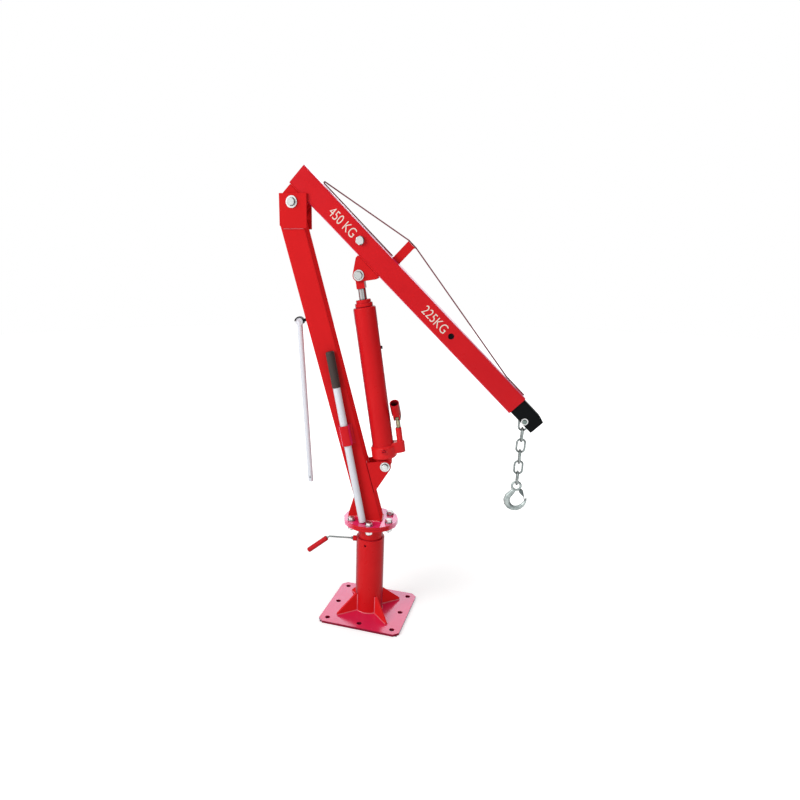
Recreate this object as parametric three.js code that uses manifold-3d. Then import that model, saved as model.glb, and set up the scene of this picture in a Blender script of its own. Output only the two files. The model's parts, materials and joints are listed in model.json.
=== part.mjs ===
// A half-ton swivel crane for a truck bed: a bolted-down post, a leaning mast, a boom that a
// hand-pumped ram lifts, a sliding inner boom, and a chain with a latched hook.
// Millimetres, +Z up. The origin is the middle of the base plate's underside, +X points towards
// the boom's tip, and -Y is the side that the operator stands on.
import * as THREE from 'three';
import { mergeVertices } from 'three/addons/utils/BufferGeometryUtils.js';
import Module from 'manifold-3d';

const wasm = await Module();
wasm.setup();

// Clearances
const seatGap = 0.3;
const slideGap = 1;
const boreGap = 0.3;
const cut = 2;

// Facets of round work
const roundSides = 32;
const washerSides = 20;
const smallSides = 16;
const holeSteps = 8;
const arcSteps = 8;
const cornerSteps = 2;

// Base
const plateSide = 266;
const plateThick = 8;
const plateCorner = 16;
const plateHole = 8;
const plateHolePlace = 107;
const plateTurn = -11;
const postRadius = 44.5;
const postWall = 5;
const postTop = 268;
const gussetReach = 117;
const gussetHeight = 62;
const gussetToe = 6;
const gussetThick = 6;
const greaseHole = 3.5;
const greaseHoleBelowTop = 18;
const greaseHoleTurn = -106;

// Lock screw with its cranked handle
const screwBelowTop = 12;
const screwRadius = 5;
const screwLength = 22;
const bossRadius = 9;
const bossLength = 11;
const crankWire = 3;
const crankReach = 68;
const crankBend = 14;
const crankAngle = 39;
const crankArm = 80;
const gripRadius = 8.2;
const gripLength = 77;
const gripEndShare = 0.8;

// Swivel tube and the two bolted flanges
const swivelGap = 0.5;
const swivelWall = 5;
const flangeRadius = 85;
const flangeThick = 8;
const neckLength = 48.4;
const flangeBolts = 6;
const flangeBoltCircle = 67;
const flangeBoltTurn = 30;

// Bolts: shank radius, width across flats, washer radius, head and nut heights
const hookBolt = { shank: 5, flats: 16, washer: 10, head: 6.5, nut: 8, washerThick: 2 };
const midBolt = { shank: 6, flats: 19, washer: 12, head: 8, nut: 10, washerThick: 2.2 };
const lockBolt = { shank: 8, flats: 24, washer: 11.4, head: 10, nut: 13, washerThick: 1 };
const ramBolt = { shank: 7, flats: 21, washer: 14.8, head: 8, nut: 10, washerThick: 2.4 };
const headBolt = { shank: 7, flats: 21, washer: 15.5, head: 9, nut: 11, washerThick: 2.6 };
const threadEnd = 4;

// Mast
const mastSide = 65;
const mastWall = 4;
const tubeCorner = 6;
const mastLean = 15.2;
const mastFootX = 3;
const mastLength = 894;
const headAbove = 45;
const headAcross = 16;
const cheekThick = 6;
const cheekLeft = 34;
const cheekRight = 40.5;
const cheekAbove = 21.5;
const cheekBelow = 66;
const cheekClip = 8;
const footAlong = 163;
const footAcross = 84;
const earThick = 7;
const earNose = 18;
const earRootAbove = 22;
const earRootBelow = 74;
const mastGussetHeight = 66;
const mastGussetReach = 75;
const mastGussetThick = 7;

// Pump handle kept in a strap on the mast
const handleRadius = 11;
const handleWall = 2.5;
const handleLength = 525;
const handleLean = 11.2;
const handleFootX = -22;
const rubberWall = 1.6;
const rubberLength = 104;
const rubberCap = 3;
const strapLength = 61;
const strapAlong = 249;
const strapThick = 2.4;
const strapFoot = 8;
const strapBend = 5;

// Spare handle rod hung from a spring clip
const spareRadius = 8;
const spareLength = 488;
const spareLean = 3.2;
const spareCrossHole = 3;
const spareCrossHolePlace = 15;
const spareEye = 10.5;
const spareEyeWidth = 14;
const spareWall = 2;
const spareBoreStop = 40;
const clipAlong = 635;
const clipOffFace = 25;
const clipThick = 3;
const clipWidth = 20;
const clipFootLength = 30;
const clipStemWidth = 8;
const spareSwingIn = 11;
const spareSwingOut = 45;
const clipPlay = 4;

// Boom
const boomSide = 60;
const boomWall = 4;
const boomIncline = 44;
const boomAbovePin = 28;
const boomBehind = 38;
const boomReach = 827;
const boomHoleNear = 199;
const boomHoleFar = 555;
const lugHalf = 34;
const lugWall = 7;
const lugBush = 13;
const boomEarThick = 6;
const boomEarBehind = 38;
const boomEarAhead = 42;
const boomEarShoulder = 8.5;
const boomEarNose = 17;
const ramPinAlong = 259;
const ramPinDrop = 35.3;

// King post and truss rod
const kingFrom = 292;
const kingWidth = 24;
const kingHeight = 58;
const kingThick = 10;
const kingFlare = 5;
const rodRadius = 2;
const rodApex = 23;
const rodHairpin = 2.6;
const rodDown = 748;
const rodEnd = 822;
const rodSides = 8;
const rodBendSteps = 6;
const rodTailGap = 10;

// Inner boom
const innerSide = 50;
const innerWall = 4;
const innerTail = 25;
const innerTip = 714;
const innerClipLength = 17;
const innerClipDrop = 5;
const hookBoltBehind = 37;
const hookBoltUp = 10;
const chainSlot = 16;
const chainSlotBehind = 44;

// Chain and hook
const wireRadius = 3;
const linkPitch = 33.5;
const linkWidth = 29;
const linkCount = 6;
const linkSides = 8;
const linkArcSteps = 6;
const hookEyeRadius = 12.75;
const hookEyeWire = 3.75;
const hookEyeSteps = 20;
const hookSides = 10;
const hookSpan = 66;
const latchThick = 1.6;
const latchClear = 0.4;
const latchPin = 2;
const latchPivotX = 15.5;
const latchPivotZ = -17;
const latchBoss = 4;
const latchBossHalf = 3.5;
const latchTipX = 28.2;
const latchTipZ = -43;
const latchEarShare = 0.6;

// Centre line of the hook from its eye to its tip, with the half size in its plane and across it,
// all as shares of the hook's span
const hookShares = [
  [-0.08, -0.2, 0.1, 0.07],
  [-0.2, -0.36, 0.13, 0.09],
  [-0.32, -0.5, 0.145, 0.1],
  [-0.365, -0.67, 0.15, 0.108],
  [-0.33, -0.84, 0.145, 0.11],
  [-0.22, -0.99, 0.135, 0.11],
  [-0.07, -1.07, 0.125, 0.108],
  [0.1, -1.075, 0.12, 0.1],
  [0.25, -1.01, 0.11, 0.095],
  [0.37, -0.9, 0.092, 0.085],
  [0.445, -0.77, 0.068, 0.07],
  [0.48, -0.65, 0.045, 0.06],
  [0.488, -0.55, 0.02, 0.035],
];

// Hydraulic ram
const castRadius = 38;
const castBottom = 21;
const castTop = 62;
const castChamfer = 5;
const castBore = 40;
const lobeRadius = 13;
const lobeBottom = 33;
const lobeTop = 67;
const pumpAcross = 52;
const pumpRadius = 9.3;
const pumpTop = 109;
const footLugRadius = 16.5;
const footLugRoot = 24;
const lobeRoot = 26;
const earSideGap = 1;
const tankRadius = 32;
const tankWall = 4;
const tankShoulder = 3;
const tankTop = 467;
const cylinderRadius = 19;
const cylinderWall = 4.5;
const glandRadius = 25;
const glandStep = 21;
const glandHeight = 11;
const glandStepHeight = 9;
const glandPlug = 15;
const ramRodRadius = 11;
const pistonLength = 10;
const rodEndLength = 36;
const rodEndHalf = 11.5;
const rodEndSideGap = 1;
const rodEndLip = 5;
const rodEndFall = 22;
const fillerAlong = 349;
const fillerRadius = 5;
const fillerStem = 3.4;
const fillerProud = 4;
const valveAcross = 4;
const valveAlong = 50;
const valveRadius = 5.5;
const valveStem = 4;
const valveDepth = 12;
const valveBoss = 9;
const valveBossProud = 1.5;
const valveProud = 7;
const valveSlot = 2.2;
const valveSlotDepth = 2.5;

// Pump lever
const leverTurn = 0;
const leverTilt = 55;
const leverDown = 30;
const leverArm = 20;
const leverPlate = 4;
const leverEye = 9;
const leverPlay = 0.9;
const plungerRadius = 5.5;
const plungerFloor = 76;
const pumpFloor = 62;
const pinAlong = 140;
const pinRadius = 3;
const pinEnd = 1.5;
const plungerEye = 7;
const plateGap = 0.5;
const socketGap = 0.5;
const socketWall = 2.5;
const socketStart = 14;
const socketRise = 1.6;
const socketLength = 46;
const socketFloor = 8;
const linkEye = 6.5;
const linkFootAlong = 56;
const linkLugRoot = 8;

// Paints and metals
const redPaint = { color: 0xd42026, roughness: 0.38, metalness: 0.1 };
const blackPaint = { color: 0x17171a, roughness: 0.5, metalness: 0.1 };
const whitePaint = { color: 0xe6e8ea, roughness: 0.4, metalness: 0.1 };
const zinc = { color: 0xc4c8cc, roughness: 0.35, metalness: 0.9 };
const chrome = { color: 0xd8dadd, roughness: 0.12, metalness: 1 };
const rubber = { color: 0x2b2a29, roughness: 0.85, metalness: 0 };
const redPlastic = { color: 0xc51d24, roughness: 0.5, metalness: 0 };
const chainSteel = { color: 0x9aa09f, roughness: 0.42, metalness: 0.85 };

const radians = THREE.MathUtils.degToRad;

// Helpers: every solid is built around its own group's origin

function solid(geometry) {
  const shape = geometry.clone();
  shape.deleteAttribute('normal');
  shape.deleteAttribute('uv');
  const merged = mergeVertices(shape);
  return new wasm.Manifold(new wasm.Mesh({
    numProp: 3,
    vertProperties: new Float32Array(merged.attributes.position.array),
    triVerts: new Uint32Array(merged.index.array),
  }));
}

function geometryOf(manifold) {
  const mesh = manifold.getMesh();
  const geometry = new THREE.BufferGeometry();
  geometry.setAttribute('position', new THREE.BufferAttribute(new Float32Array(mesh.vertProperties), 3));
  geometry.setIndex(new THREE.BufferAttribute(new Uint32Array(mesh.triVerts), 1));
  geometry.computeVertexNormals();
  return geometry;
}

function piece(parent, name, shape, finish) {
  const geometry = shape instanceof THREE.BufferGeometry ? shape : geometryOf(shape);
  const mesh = new THREE.Mesh(geometry, new THREE.MeshStandardMaterial(finish));
  mesh.name = name;
  parent.add(mesh);
  return mesh;
}

function frame(parent, name, x = 0, y = 0, z = 0) {
  const group = new THREE.Group();
  group.name = name;
  group.position.set(x, y, z);
  parent.add(group);
  return group;
}

// Where a point of a group lies in another group
function placeIn(from, to, x, z) {
  from.updateWorldMatrix(true, false);
  to.updateWorldMatrix(true, false);
  return to.worldToLocal(from.localToWorld(new THREE.Vector3(x, 0, z)));
}

// An outline that wraps a row of rounds, each [x, y, radius], counter-clockwise.
// A round of radius 0 is a sharp corner.
function belt(rounds, steps = arcSteps) {
  const count = rounds.length;
  const leave = rounds.map(([x, y, r], i) => {
    const [nextX, nextY, nextR] = rounds[(i + 1) % count];
    const run = Math.hypot(nextX - x, nextY - y);
    return Math.atan2(nextY - y, nextX - x) - Math.acos((r - nextR) / run);
  });
  return new THREE.Shape(rounds.flatMap(([x, y, r], i) => {
    if (r === 0) return [new THREE.Vector2(x, y)];
    const from = leave[(i + count - 1) % count];
    const sweep = THREE.MathUtils.euclideanModulo(leave[i] - from, 2 * Math.PI);
    return Array.from({ length: steps + 1 }, (_, k) => {
      const a = from + (sweep * k) / steps;
      return new THREE.Vector2(x + r * Math.cos(a), y + r * Math.sin(a));
    });
  }));
}

// An outline in X and Z, given thickness along Y
function upright(shape, yFrom, yTo, steps = arcSteps) {
  const depth = yTo - yFrom;
  const geometry = new THREE.ExtrudeGeometry(shape, { depth, bevelEnabled: false, curveSegments: steps });
  geometry.rotateX(Math.PI / 2);
  geometry.translate(0, yTo, 0);
  return geometry;
}

// An outline in Y and Z, given thickness along X on both sides of the middle
function sideways(shape, half, steps = arcSteps) {
  const geometry = upright(shape, -half, half, steps);
  geometry.rotateZ(Math.PI / 2);
  return solid(geometry);
}

// An outline in X and Y, given height along Z
function flat(shape, zFrom, zTo, steps = arcSteps) {
  const depth = zTo - zFrom;
  const geometry = new THREE.ExtrudeGeometry(shape, { depth, bevelEnabled: false, curveSegments: steps });
  geometry.translate(0, 0, zFrom);
  return geometry;
}

function circle(radius, x = 0, y = 0) {
  const shape = new THREE.Shape();
  shape.absarc(x, y, radius, 0, 2 * Math.PI, false);
  return shape;
}

function block(x0, x1, y0, y1, z0, z1) {
  const geometry = new THREE.BoxGeometry(x1 - x0, y1 - y0, z1 - z0);
  geometry.translate((x0 + x1) / 2, (y0 + y1) / 2, (z0 + z1) / 2);
  return solid(geometry);
}

// Round bars along Z, Y and X
function barZ(radius, z0, z1, x = 0, y = 0, sides = roundSides) {
  const geometry = new THREE.CylinderGeometry(radius, radius, z1 - z0, sides);
  geometry.rotateX(Math.PI / 2);
  geometry.translate(x, y, (z0 + z1) / 2);
  return solid(geometry);
}

function barY(radius, y0, y1, x = 0, z = 0, sides = roundSides) {
  const geometry = new THREE.CylinderGeometry(radius, radius, y1 - y0, sides);
  geometry.translate(x, (y0 + y1) / 2, z);
  return solid(geometry);
}

function barX(radius, x0, x1, y = 0, z = 0, sides = roundSides) {
  const geometry = new THREE.CylinderGeometry(radius, radius, x1 - x0, sides);
  geometry.rotateZ(Math.PI / 2);
  geometry.translate((x0 + x1) / 2, y, z);
  return solid(geometry);
}

function turned(profile, sides = roundSides) {
  const points = profile.map(([r, z]) => new THREE.Vector2(r, z));
  const geometry = new THREE.LatheGeometry(points, sides);
  geometry.rotateX(Math.PI / 2);
  return solid(geometry);
}

function roundedSquare(side, corner) {
  const h = side / 2 - corner;
  return belt([[h, -h, corner], [h, h, corner], [-h, h, corner], [-h, -h, corner]], cornerSteps);
}

// A square tube along Z
function squareTube(side, wall, z0, z1) {
  const shape = roundedSquare(side, tubeCorner);
  shape.holes.push(roundedSquare(side - 2 * wall, tubeCorner - wall));
  return flat(shape, z0, z1);
}

// A path through bend points, where a sweep takes one step at each point
class BentPath extends THREE.Curve {
  constructor(points) {
    super();
    this.points = points;
  }

  getPoint(t) {
    const last = this.points.length - 1;
    const i = Math.min(Math.floor(t * last), last - 1);
    return this.points[i].clone().lerp(this.points[i + 1], t * last - i);
  }

  getPointAt(u) {
    return this.getPoint(u);
  }

  getTangent(t) {
    const last = this.points.length - 1;
    const i = Math.round(t * last);
    const tangent = new THREE.Vector3();
    if (i > 0) tangent.add(this.points[i].clone().sub(this.points[i - 1]).normalize());
    if (i < last) tangent.add(this.points[i + 1].clone().sub(this.points[i]).normalize());
    return tangent.normalize();
  }

  getTangentAt(u) {
    return this.getTangent(u);
  }
}

function bentRod(points, radius) {
  const steps = points.length - 1;
  const extrudePath = new BentPath(points);
  return new THREE.ExtrudeGeometry(circle(radius), { steps, extrudePath, curveSegments: rodSides / 2 });
}

// Points of a bend in the XZ plane
function bend(x, z, radius, from, to, steps) {
  return Array.from({ length: steps + 1 }, (_, i) => {
    const a = from + ((to - from) * i) / steps;
    return new THREE.Vector3(x + radius * Math.cos(a), 0, z + radius * Math.sin(a));
  });
}

// A skin over rings of points: open runs get flat ends, closed runs join up
function loft(rings, closed = false) {
  const sides = rings[0].length;
  const position = rings.flat().flatMap((p) => [p.x, p.y, p.z]);
  const index = [];
  const runs = closed ? rings.length : rings.length - 1;
  for (let i = 0; i < runs; i += 1) {
    const a = i * sides;
    const b = ((i + 1) % rings.length) * sides;
    for (let k = 0; k < sides; k += 1) {
      const n = (k + 1) % sides;
      index.push(a + k, a + n, b + n, a + k, b + n, b + k);
    }
  }
  if (!closed) {
    const end = (rings.length - 1) * sides;
    for (let k = 1; k < sides - 1; k += 1) {
      index.push(0, k + 1, k);
      index.push(end, end + k, end + k + 1);
    }
  }
  const geometry = new THREE.BufferGeometry();
  geometry.setAttribute('position', new THREE.Float32BufferAttribute(position, 3));
  geometry.setIndex(index);
  geometry.computeVertexNormals();
  return geometry;
}

// One ring of a bar that runs in the XZ plane, square to the run from one point to another
function ring(x, z, along, inPlane, acrossY, sides) {
  return Array.from({ length: sides }, (_, k) => {
    const a = (2 * Math.PI * k) / sides;
    const p = inPlane * Math.cos(a);
    return new THREE.Vector3(x + p * Math.sin(along), acrossY * Math.sin(a), z - p * Math.cos(along));
  });
}

function hexPrism(flats, y0, y1) {
  const geometry = new THREE.CylinderGeometry(flats / Math.sqrt(3), flats / Math.sqrt(3), y1 - y0, 6);
  geometry.translate(0, (y0 + y1) / 2, 0);
  return solid(geometry);
}

// A bolt along Y through a joint that reaches from yFrom to yTo, with its head at the -Y end
function boltHead(size, yFrom, shankEnd) {
  const headFace = yFrom - seatGap - size.washerThick;
  return barY(size.shank, headFace - size.head / 2, shankEnd, 0, 0, smallSides)
    .add(barY(size.washer, headFace, yFrom - seatGap, 0, 0, washerSides))
    .add(hexPrism(size.flats, headFace - size.head, headFace));
}

function boltNut(size, yTo) {
  const nutFace = yTo + seatGap + size.washerThick;
  return barY(size.washer, yTo + seatGap, nutFace, 0, 0, washerSides)
    .add(hexPrism(size.flats, nutFace, nutFace + size.nut));
}

function boltEnd(size, yTo) {
  return yTo + seatGap + size.washerThick + size.nut + threadEnd;
}

function crossBolt(size, yFrom, yTo) {
  return boltHead(size, yFrom, boltEnd(size, yTo)).add(boltNut(size, yTo));
}

const crane = new THREE.Group();
crane.name = 'crane';

// Base plate, corner gussets and post

const base = frame(crane, 'base');
base.rotation.z = radians(plateTurn);
const plateTop = plateThick + seatGap;

function basePlate() {
  const h = plateSide / 2 - plateCorner;
  const corners = [[h, -h], [h, h], [-h, h], [-h, -h]];
  const shape = belt(corners.map(([x, y]) => [x, y, plateCorner]), 1);
  for (const i of [-1, 0, 1]) {
    for (const j of [-1, 0, 1]) {
      if (i || j) shape.holes.push(circle(plateHole, i * plateHolePlace, j * plateHolePlace));
    }
  }
  return flat(shape, 0, plateThick, holeSteps);
}
piece(base, 'base_plate', basePlate(), redPaint);

function gusset() {
  const inner = postRadius + seatGap;
  return upright(belt([
    [inner, plateTop, 0],
    [gussetReach, plateTop, 0],
    [gussetReach, plateTop + gussetToe, 0],
    [inner + gussetToe, plateTop + gussetHeight, 0],
    [inner, plateTop + gussetHeight, 0],
  ]), -gussetThick / 2, gussetThick / 2);
}
for (let i = 0; i < 4; i += 1) {
  const corner = frame(base, `base_corner_${i + 1}`);
  corner.rotation.z = Math.PI / 4 + (Math.PI / 2) * i;
  piece(corner, `base_gusset_${i + 1}`, gusset(), redPaint);
}

const screwHeight = postTop - screwBelowTop;
const swivelRadius = postRadius - postWall - swivelGap;

function basePost() {
  const bossEnd = postRadius + bossLength;
  const grease = new THREE.CylinderGeometry(greaseHole, greaseHole, postRadius, smallSides);
  grease.rotateZ(Math.PI / 2);
  grease.translate(postRadius, 0, postTop - greaseHoleBelowTop);
  grease.rotateZ(radians(greaseHoleTurn));
  return barZ(postRadius, plateTop, postTop)
    .add(barX(bossRadius, -bossEnd, 0, 0, screwHeight, smallSides))
    .subtract(barZ(postRadius - postWall, plateTop - cut, postTop + cut))
    .subtract(barX(screwRadius + boreGap, -bossEnd - cut, 0, 0, screwHeight, smallSides))
    .subtract(solid(grease));
}
piece(crane, 'base_post', basePost(), redPaint);

// Lock screw: its end bears on the swivel tube inside the post

const lockScrew = frame(crane, 'lock_screw_place', -swivelRadius - seatGap, 0, screwHeight);

const crankDrop = radians(crankAngle);
const crankRun = crankReach + screwLength;
const crankCurve = bend(-crankRun, -crankBend, crankBend, Math.PI / 2, Math.PI / 2 + crankDrop, rodBendSteps);
const crankLast = crankCurve[rodBendSteps];
const crankTip = new THREE.Vector3(
  crankLast.x - crankArm * Math.cos(crankDrop),
  0,
  crankLast.z - crankArm * Math.sin(crankDrop),
);
const crankPath = [new THREE.Vector3(cut - screwLength, 0, 0), ...crankCurve, crankTip];
piece(lockScrew, 'lock_screw', barX(screwRadius, -screwLength, 0, 0, 0, smallSides)
  .add(solid(bentRod(crankPath, crankWire))), zinc);

const gripPlace = frame(lockScrew, 'lock_grip_place', crankTip.x, 0, crankTip.z);
gripPlace.rotation.y = Math.PI / 2 - crankDrop;
function lockGrip() {
  const end = seatGap + crankWire;
  return turned([
    [0, -end],
    [gripRadius * gripEndShare, -end],
    [gripRadius, 0],
    [gripRadius, gripLength - end],
    [gripRadius * gripEndShare, gripLength],
    [0, gripLength],
  ], smallSides).subtract(barZ(crankWire + boreGap, -seatGap, gripLength + cut, 0, 0, smallSides));
}
piece(gripPlace, 'lock_grip', lockGrip(), redPlastic);

// Swivel: the tube that turns in the post, and the two flanges

const swivel = frame(crane, 'swivel');
const flangeBottom = postTop + neckLength;
const flangeTop = flangeBottom + flangeThick;
const deckBottom = flangeTop + seatGap;
const deckTop = deckBottom + flangeThick;
const deckSeat = deckTop + seatGap;

piece(swivel, 'swivel_tube', barZ(swivelRadius, plateTop, flangeBottom - seatGap)
  .subtract(barZ(swivelRadius - swivelWall, plateTop - cut, flangeBottom + cut)), redPaint);

function flangeBoltPlaces() {
  return Array.from({ length: flangeBolts }, (_, i) => {
    const a = radians(flangeBoltTurn) + (2 * Math.PI * i) / flangeBolts;
    return [flangeBoltCircle * Math.cos(a), flangeBoltCircle * Math.sin(a)];
  });
}
function flangeDisc(zFrom, zTo) {
  const shape = circle(flangeRadius);
  flangeBoltPlaces().forEach(([x, y]) => shape.holes.push(circle(midBolt.shank + boreGap, x, y)));
  return flat(shape, zFrom, zTo, holeSteps);
}
piece(swivel, 'swivel_flange', flangeDisc(flangeBottom, flangeTop), redPaint);
piece(swivel, 'mast_flange', flangeDisc(deckBottom, deckTop), redPaint);

flangeBoltPlaces().forEach(([x, y], i) => {
  const place = frame(swivel, `flange_bolt_place_${i + 1}`, x, y, 0);
  place.rotation.x = -Math.PI / 2;
  piece(place, `flange_bolt_${i + 1}`, crossBolt(midBolt, -deckTop, -flangeBottom), zinc);
});

// Mast: a leaning square tube that stands on the flange

const mast = frame(swivel, 'mast', mastFootX, 0, deckSeat);
mast.rotation.y = -radians(mastLean);
const mastHalf = mastSide / 2;
const mastFace = mastHalf + seatGap;
const leanSine = Math.sin(radians(mastLean));
const leanCosine = Math.cos(radians(mastLean));

function mastTube() {
  const ground = new THREE.BoxGeometry(4 * mastSide, 4 * mastSide, 2 * mastSide);
  ground.translate(0, 0, -mastSide);
  ground.rotateY(radians(mastLean));
  return solid(squareTube(mastSide, mastWall, -mastHalf, mastLength)).subtract(solid(ground));
}
piece(mast, 'mast_tube', mastTube(), redPaint);

// The gusset under the mast's lean stands on the flange, so it is drawn upright
const mastFoot = frame(swivel, 'mast_foot', mastFootX, 0, deckSeat);
const gussetTopAlong = (mastGussetHeight + mastFace * leanSine) / leanCosine;
const gussetTopX = -mastFace * leanCosine - gussetTopAlong * leanSine;
piece(mastFoot, 'mast_gusset', upright(belt([
  [-mastGussetReach, 0, 0],
  [-mastFace / leanCosine, 0, 0],
  [gussetTopX, mastGussetHeight, 0],
  [gussetTopX - gussetToe, mastGussetHeight, 0],
  [-mastGussetReach, gussetToe, 0],
]), -mastGussetThick / 2, mastGussetThick / 2), redPaint);

// Ears for the ram's foot, flush with the mast's sides
function mastEar(yFrom, yTo) {
  const shape = belt([
    [mastFace, footAlong + earRootAbove, 0],
    [mastFace, footAlong - earRootBelow, 0],
    [footAcross, footAlong, earNose],
  ]);
  shape.holes.push(circle(ramBolt.shank + boreGap, footAcross, footAlong));
  return upright(shape, yFrom, yTo, holeSteps);
}
piece(mast, 'mast_ear_front', mastEar(-mastHalf, earThick - mastHalf), redPaint);
piece(mast, 'mast_ear_back', mastEar(mastHalf - earThick, mastHalf), redPaint);

const ramFoot = frame(mast, 'ram_foot', footAcross, 0, footAlong);
piece(ramFoot, 'ram_foot_bolt', crossBolt(ramBolt, -mastHalf, mastHalf), zinc);

// Cheeks that carry the boom's pin, lapped on the mast's sides but standing upright
const headPlace = placeIn(mast, swivel, headAcross, mastLength + headAbove);
const head = frame(swivel, 'head', headPlace.x, 0, headPlace.z);

function cheek(yFrom, yTo) {
  const shape = belt([
    [-cheekLeft, cheekAbove, 0],
    [-cheekLeft, cheekClip - cheekBelow, 0],
    [cheekClip - cheekLeft, -cheekBelow, 0],
    [cheekRight, -cheekBelow, 0],
    [cheekRight, cheekAbove, 0],
  ]);
  shape.holes.push(circle(headBolt.shank + boreGap));
  return upright(shape, yFrom, yTo, holeSteps);
}
const cheekOuter = mastFace + cheekThick;
piece(head, 'cheek_front', cheek(-cheekOuter, -mastFace), redPaint);
piece(head, 'cheek_back', cheek(mastFace, cheekOuter), redPaint);
piece(head, 'head_bolt', crossBolt(headBolt, -cheekOuter, cheekOuter), zinc);

// Pump handle, its rubber and the strap that keeps it on the mast's front

const handleY = -(mastFace + rubberWall + handleRadius);
const handleFootZ = deckSeat + handleRadius * Math.sin(radians(handleLean));
const handle = frame(swivel, 'handle', handleFootX, handleY, handleFootZ);
handle.rotation.y = -radians(handleLean);

piece(handle, 'pump_handle', barZ(handleRadius, 0, handleLength)
  .subtract(barZ(handleRadius - handleWall, -cut, handleLength + cut)), whitePaint);

function handleRubber() {
  const top = handleLength + rubberCap;
  const inner = handleRadius + boreGap;
  return turned([
    [0, handleLength + boreGap],
    [inner, handleLength + boreGap],
    [inner, top - rubberLength],
    [handleRadius + rubberWall, top - rubberLength],
    [handleRadius + rubberWall, top - rubberWall],
    [handleRadius, top],
    [0, top],
  ]);
}
piece(handle, 'handle_rubber', handleRubber(), rubber);

// The strap is a hat section: a crown round the handle and two feet welded to the mast's front
function handleStrap() {
  const face = -handleY - mastFace;
  const inner = handleRadius + slideGap;
  const outer = inner + strapThick;
  const wide = outer + strapFoot;
  const top = strapAlong + strapLength;
  const crown = (half, corner, back, from, to) => solid(flat(belt([
    [half, back, 0],
    [-half, back, 0],
    [corner - half, corner - half, corner],
    [half - corner, corner - half, corner],
  ], cornerSteps), from, to));
  return crown(outer, strapBend + strapThick, face, strapAlong, top)
    .add(block(-wide, wide, face - strapThick, face, strapAlong, top))
    .subtract(crown(inner, strapBend, face + cut, strapAlong - cut, top + cut));
}
piece(handle, 'handle_strap', handleStrap(), redPaint);

// Spare handle rod, which snaps by its eye into a spring clip on the mast's left face

const clipX = -(mastHalf + clipOffFace);
const clipCentre = placeIn(mast, swivel, clipX, clipAlong);
const spare = frame(swivel, 'spare', clipCentre.x, 0, clipCentre.z);
spare.rotation.y = -radians(spareLean);

function spareHandle() {
  const crossZ = spareCrossHolePlace - spareLength;
  return barZ(spareRadius, -spareLength, 0)
    .add(barY(spareEye, -spareEyeWidth / 2, spareEyeWidth / 2))
    .subtract(barZ(spareRadius - spareWall, -spareLength - cut, -spareBoreStop))
    .subtract(barY(spareCrossHole, -spareRadius - cut, spareRadius + cut, 0, crossZ, smallSides));
}
piece(spare, 'spare_handle', spareHandle(), whitePaint);

// The clip's mouth leaves room for the rod's whole swing
function handleClip() {
  const inner = spareEye + boreGap;
  const outer = inner + clipThick;
  const hanging = -90 + spareLean - mastLean;
  const stem = THREE.MathUtils.radToDeg(Math.asin(spareRadius / inner)) + clipPlay;
  const from = radians(hanging + spareSwingIn + stem);
  const to = radians(hanging - spareSwingOut - stem + 360);
  const shape = new THREE.Shape();
  shape.absarc(clipX, clipAlong, outer, from, to, false);
  shape.absarc(clipX, clipAlong, inner, to, from, true);
  shape.closePath();
  const half = clipWidth / 2;
  const footFace = -mastFace - clipThick;
  const stemLow = clipAlong - clipStemWidth / 2;
  const footLow = clipAlong - clipFootLength / 2;
  const stemFrom = clipX + inner + clipThick / 2;
  const stemTo = footFace + clipThick / 2;
  return solid(upright(shape, -half, half))
    .add(block(stemFrom, stemTo, -half, half, stemLow, stemLow + clipStemWidth))
    .add(block(footFace, -mastFace, -half, half, footLow, footLow + clipFootLength));
}
piece(mast, 'handle_clip', handleClip(), blackPaint);

// Boom: its own X runs towards the tip, and its pin is the origin

const boom = frame(swivel, 'boom', headPlace.x, 0, headPlace.z);
boom.rotation.y = radians(boomIncline);
const boomHalf = boomSide / 2;
const boomAxis = boomAbovePin + boomHalf;
const boomTop = boomAbovePin + boomSide;
const boomSeat = boomAbovePin - seatGap;

function boomTube() {
  const tube = squareTube(boomSide, boomWall, -boomBehind, boomReach);
  tube.rotateY(Math.PI / 2);
  tube.translate(0, 0, boomAxis);
  const bore = (x) => barY(lockBolt.shank + boreGap, -boomSide, boomSide, x, boomAxis, smallSides);
  return solid(tube).subtract(bore(boomHoleNear)).subtract(bore(boomHoleFar));
}
piece(boom, 'boom_tube', boomTube(), redPaint);

// The pivot lug: two plates under the boom, joined by the bush round the pin
function boomLug() {
  const shape = belt([[lugHalf, boomSeat, 0], [-lugHalf, boomSeat, 0], [0, 0, lugHalf]]);
  return solid(upright(shape, -boomHalf, lugWall - boomHalf))
    .add(solid(upright(shape, boomHalf - lugWall, boomHalf)))
    .add(barY(lugBush, -boomHalf, boomHalf))
    .subtract(barY(headBolt.shank + boreGap, -boomSide, boomSide, 0, 0, smallSides));
}
piece(boom, 'boom_lug', boomLug(), redPaint);

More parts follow.
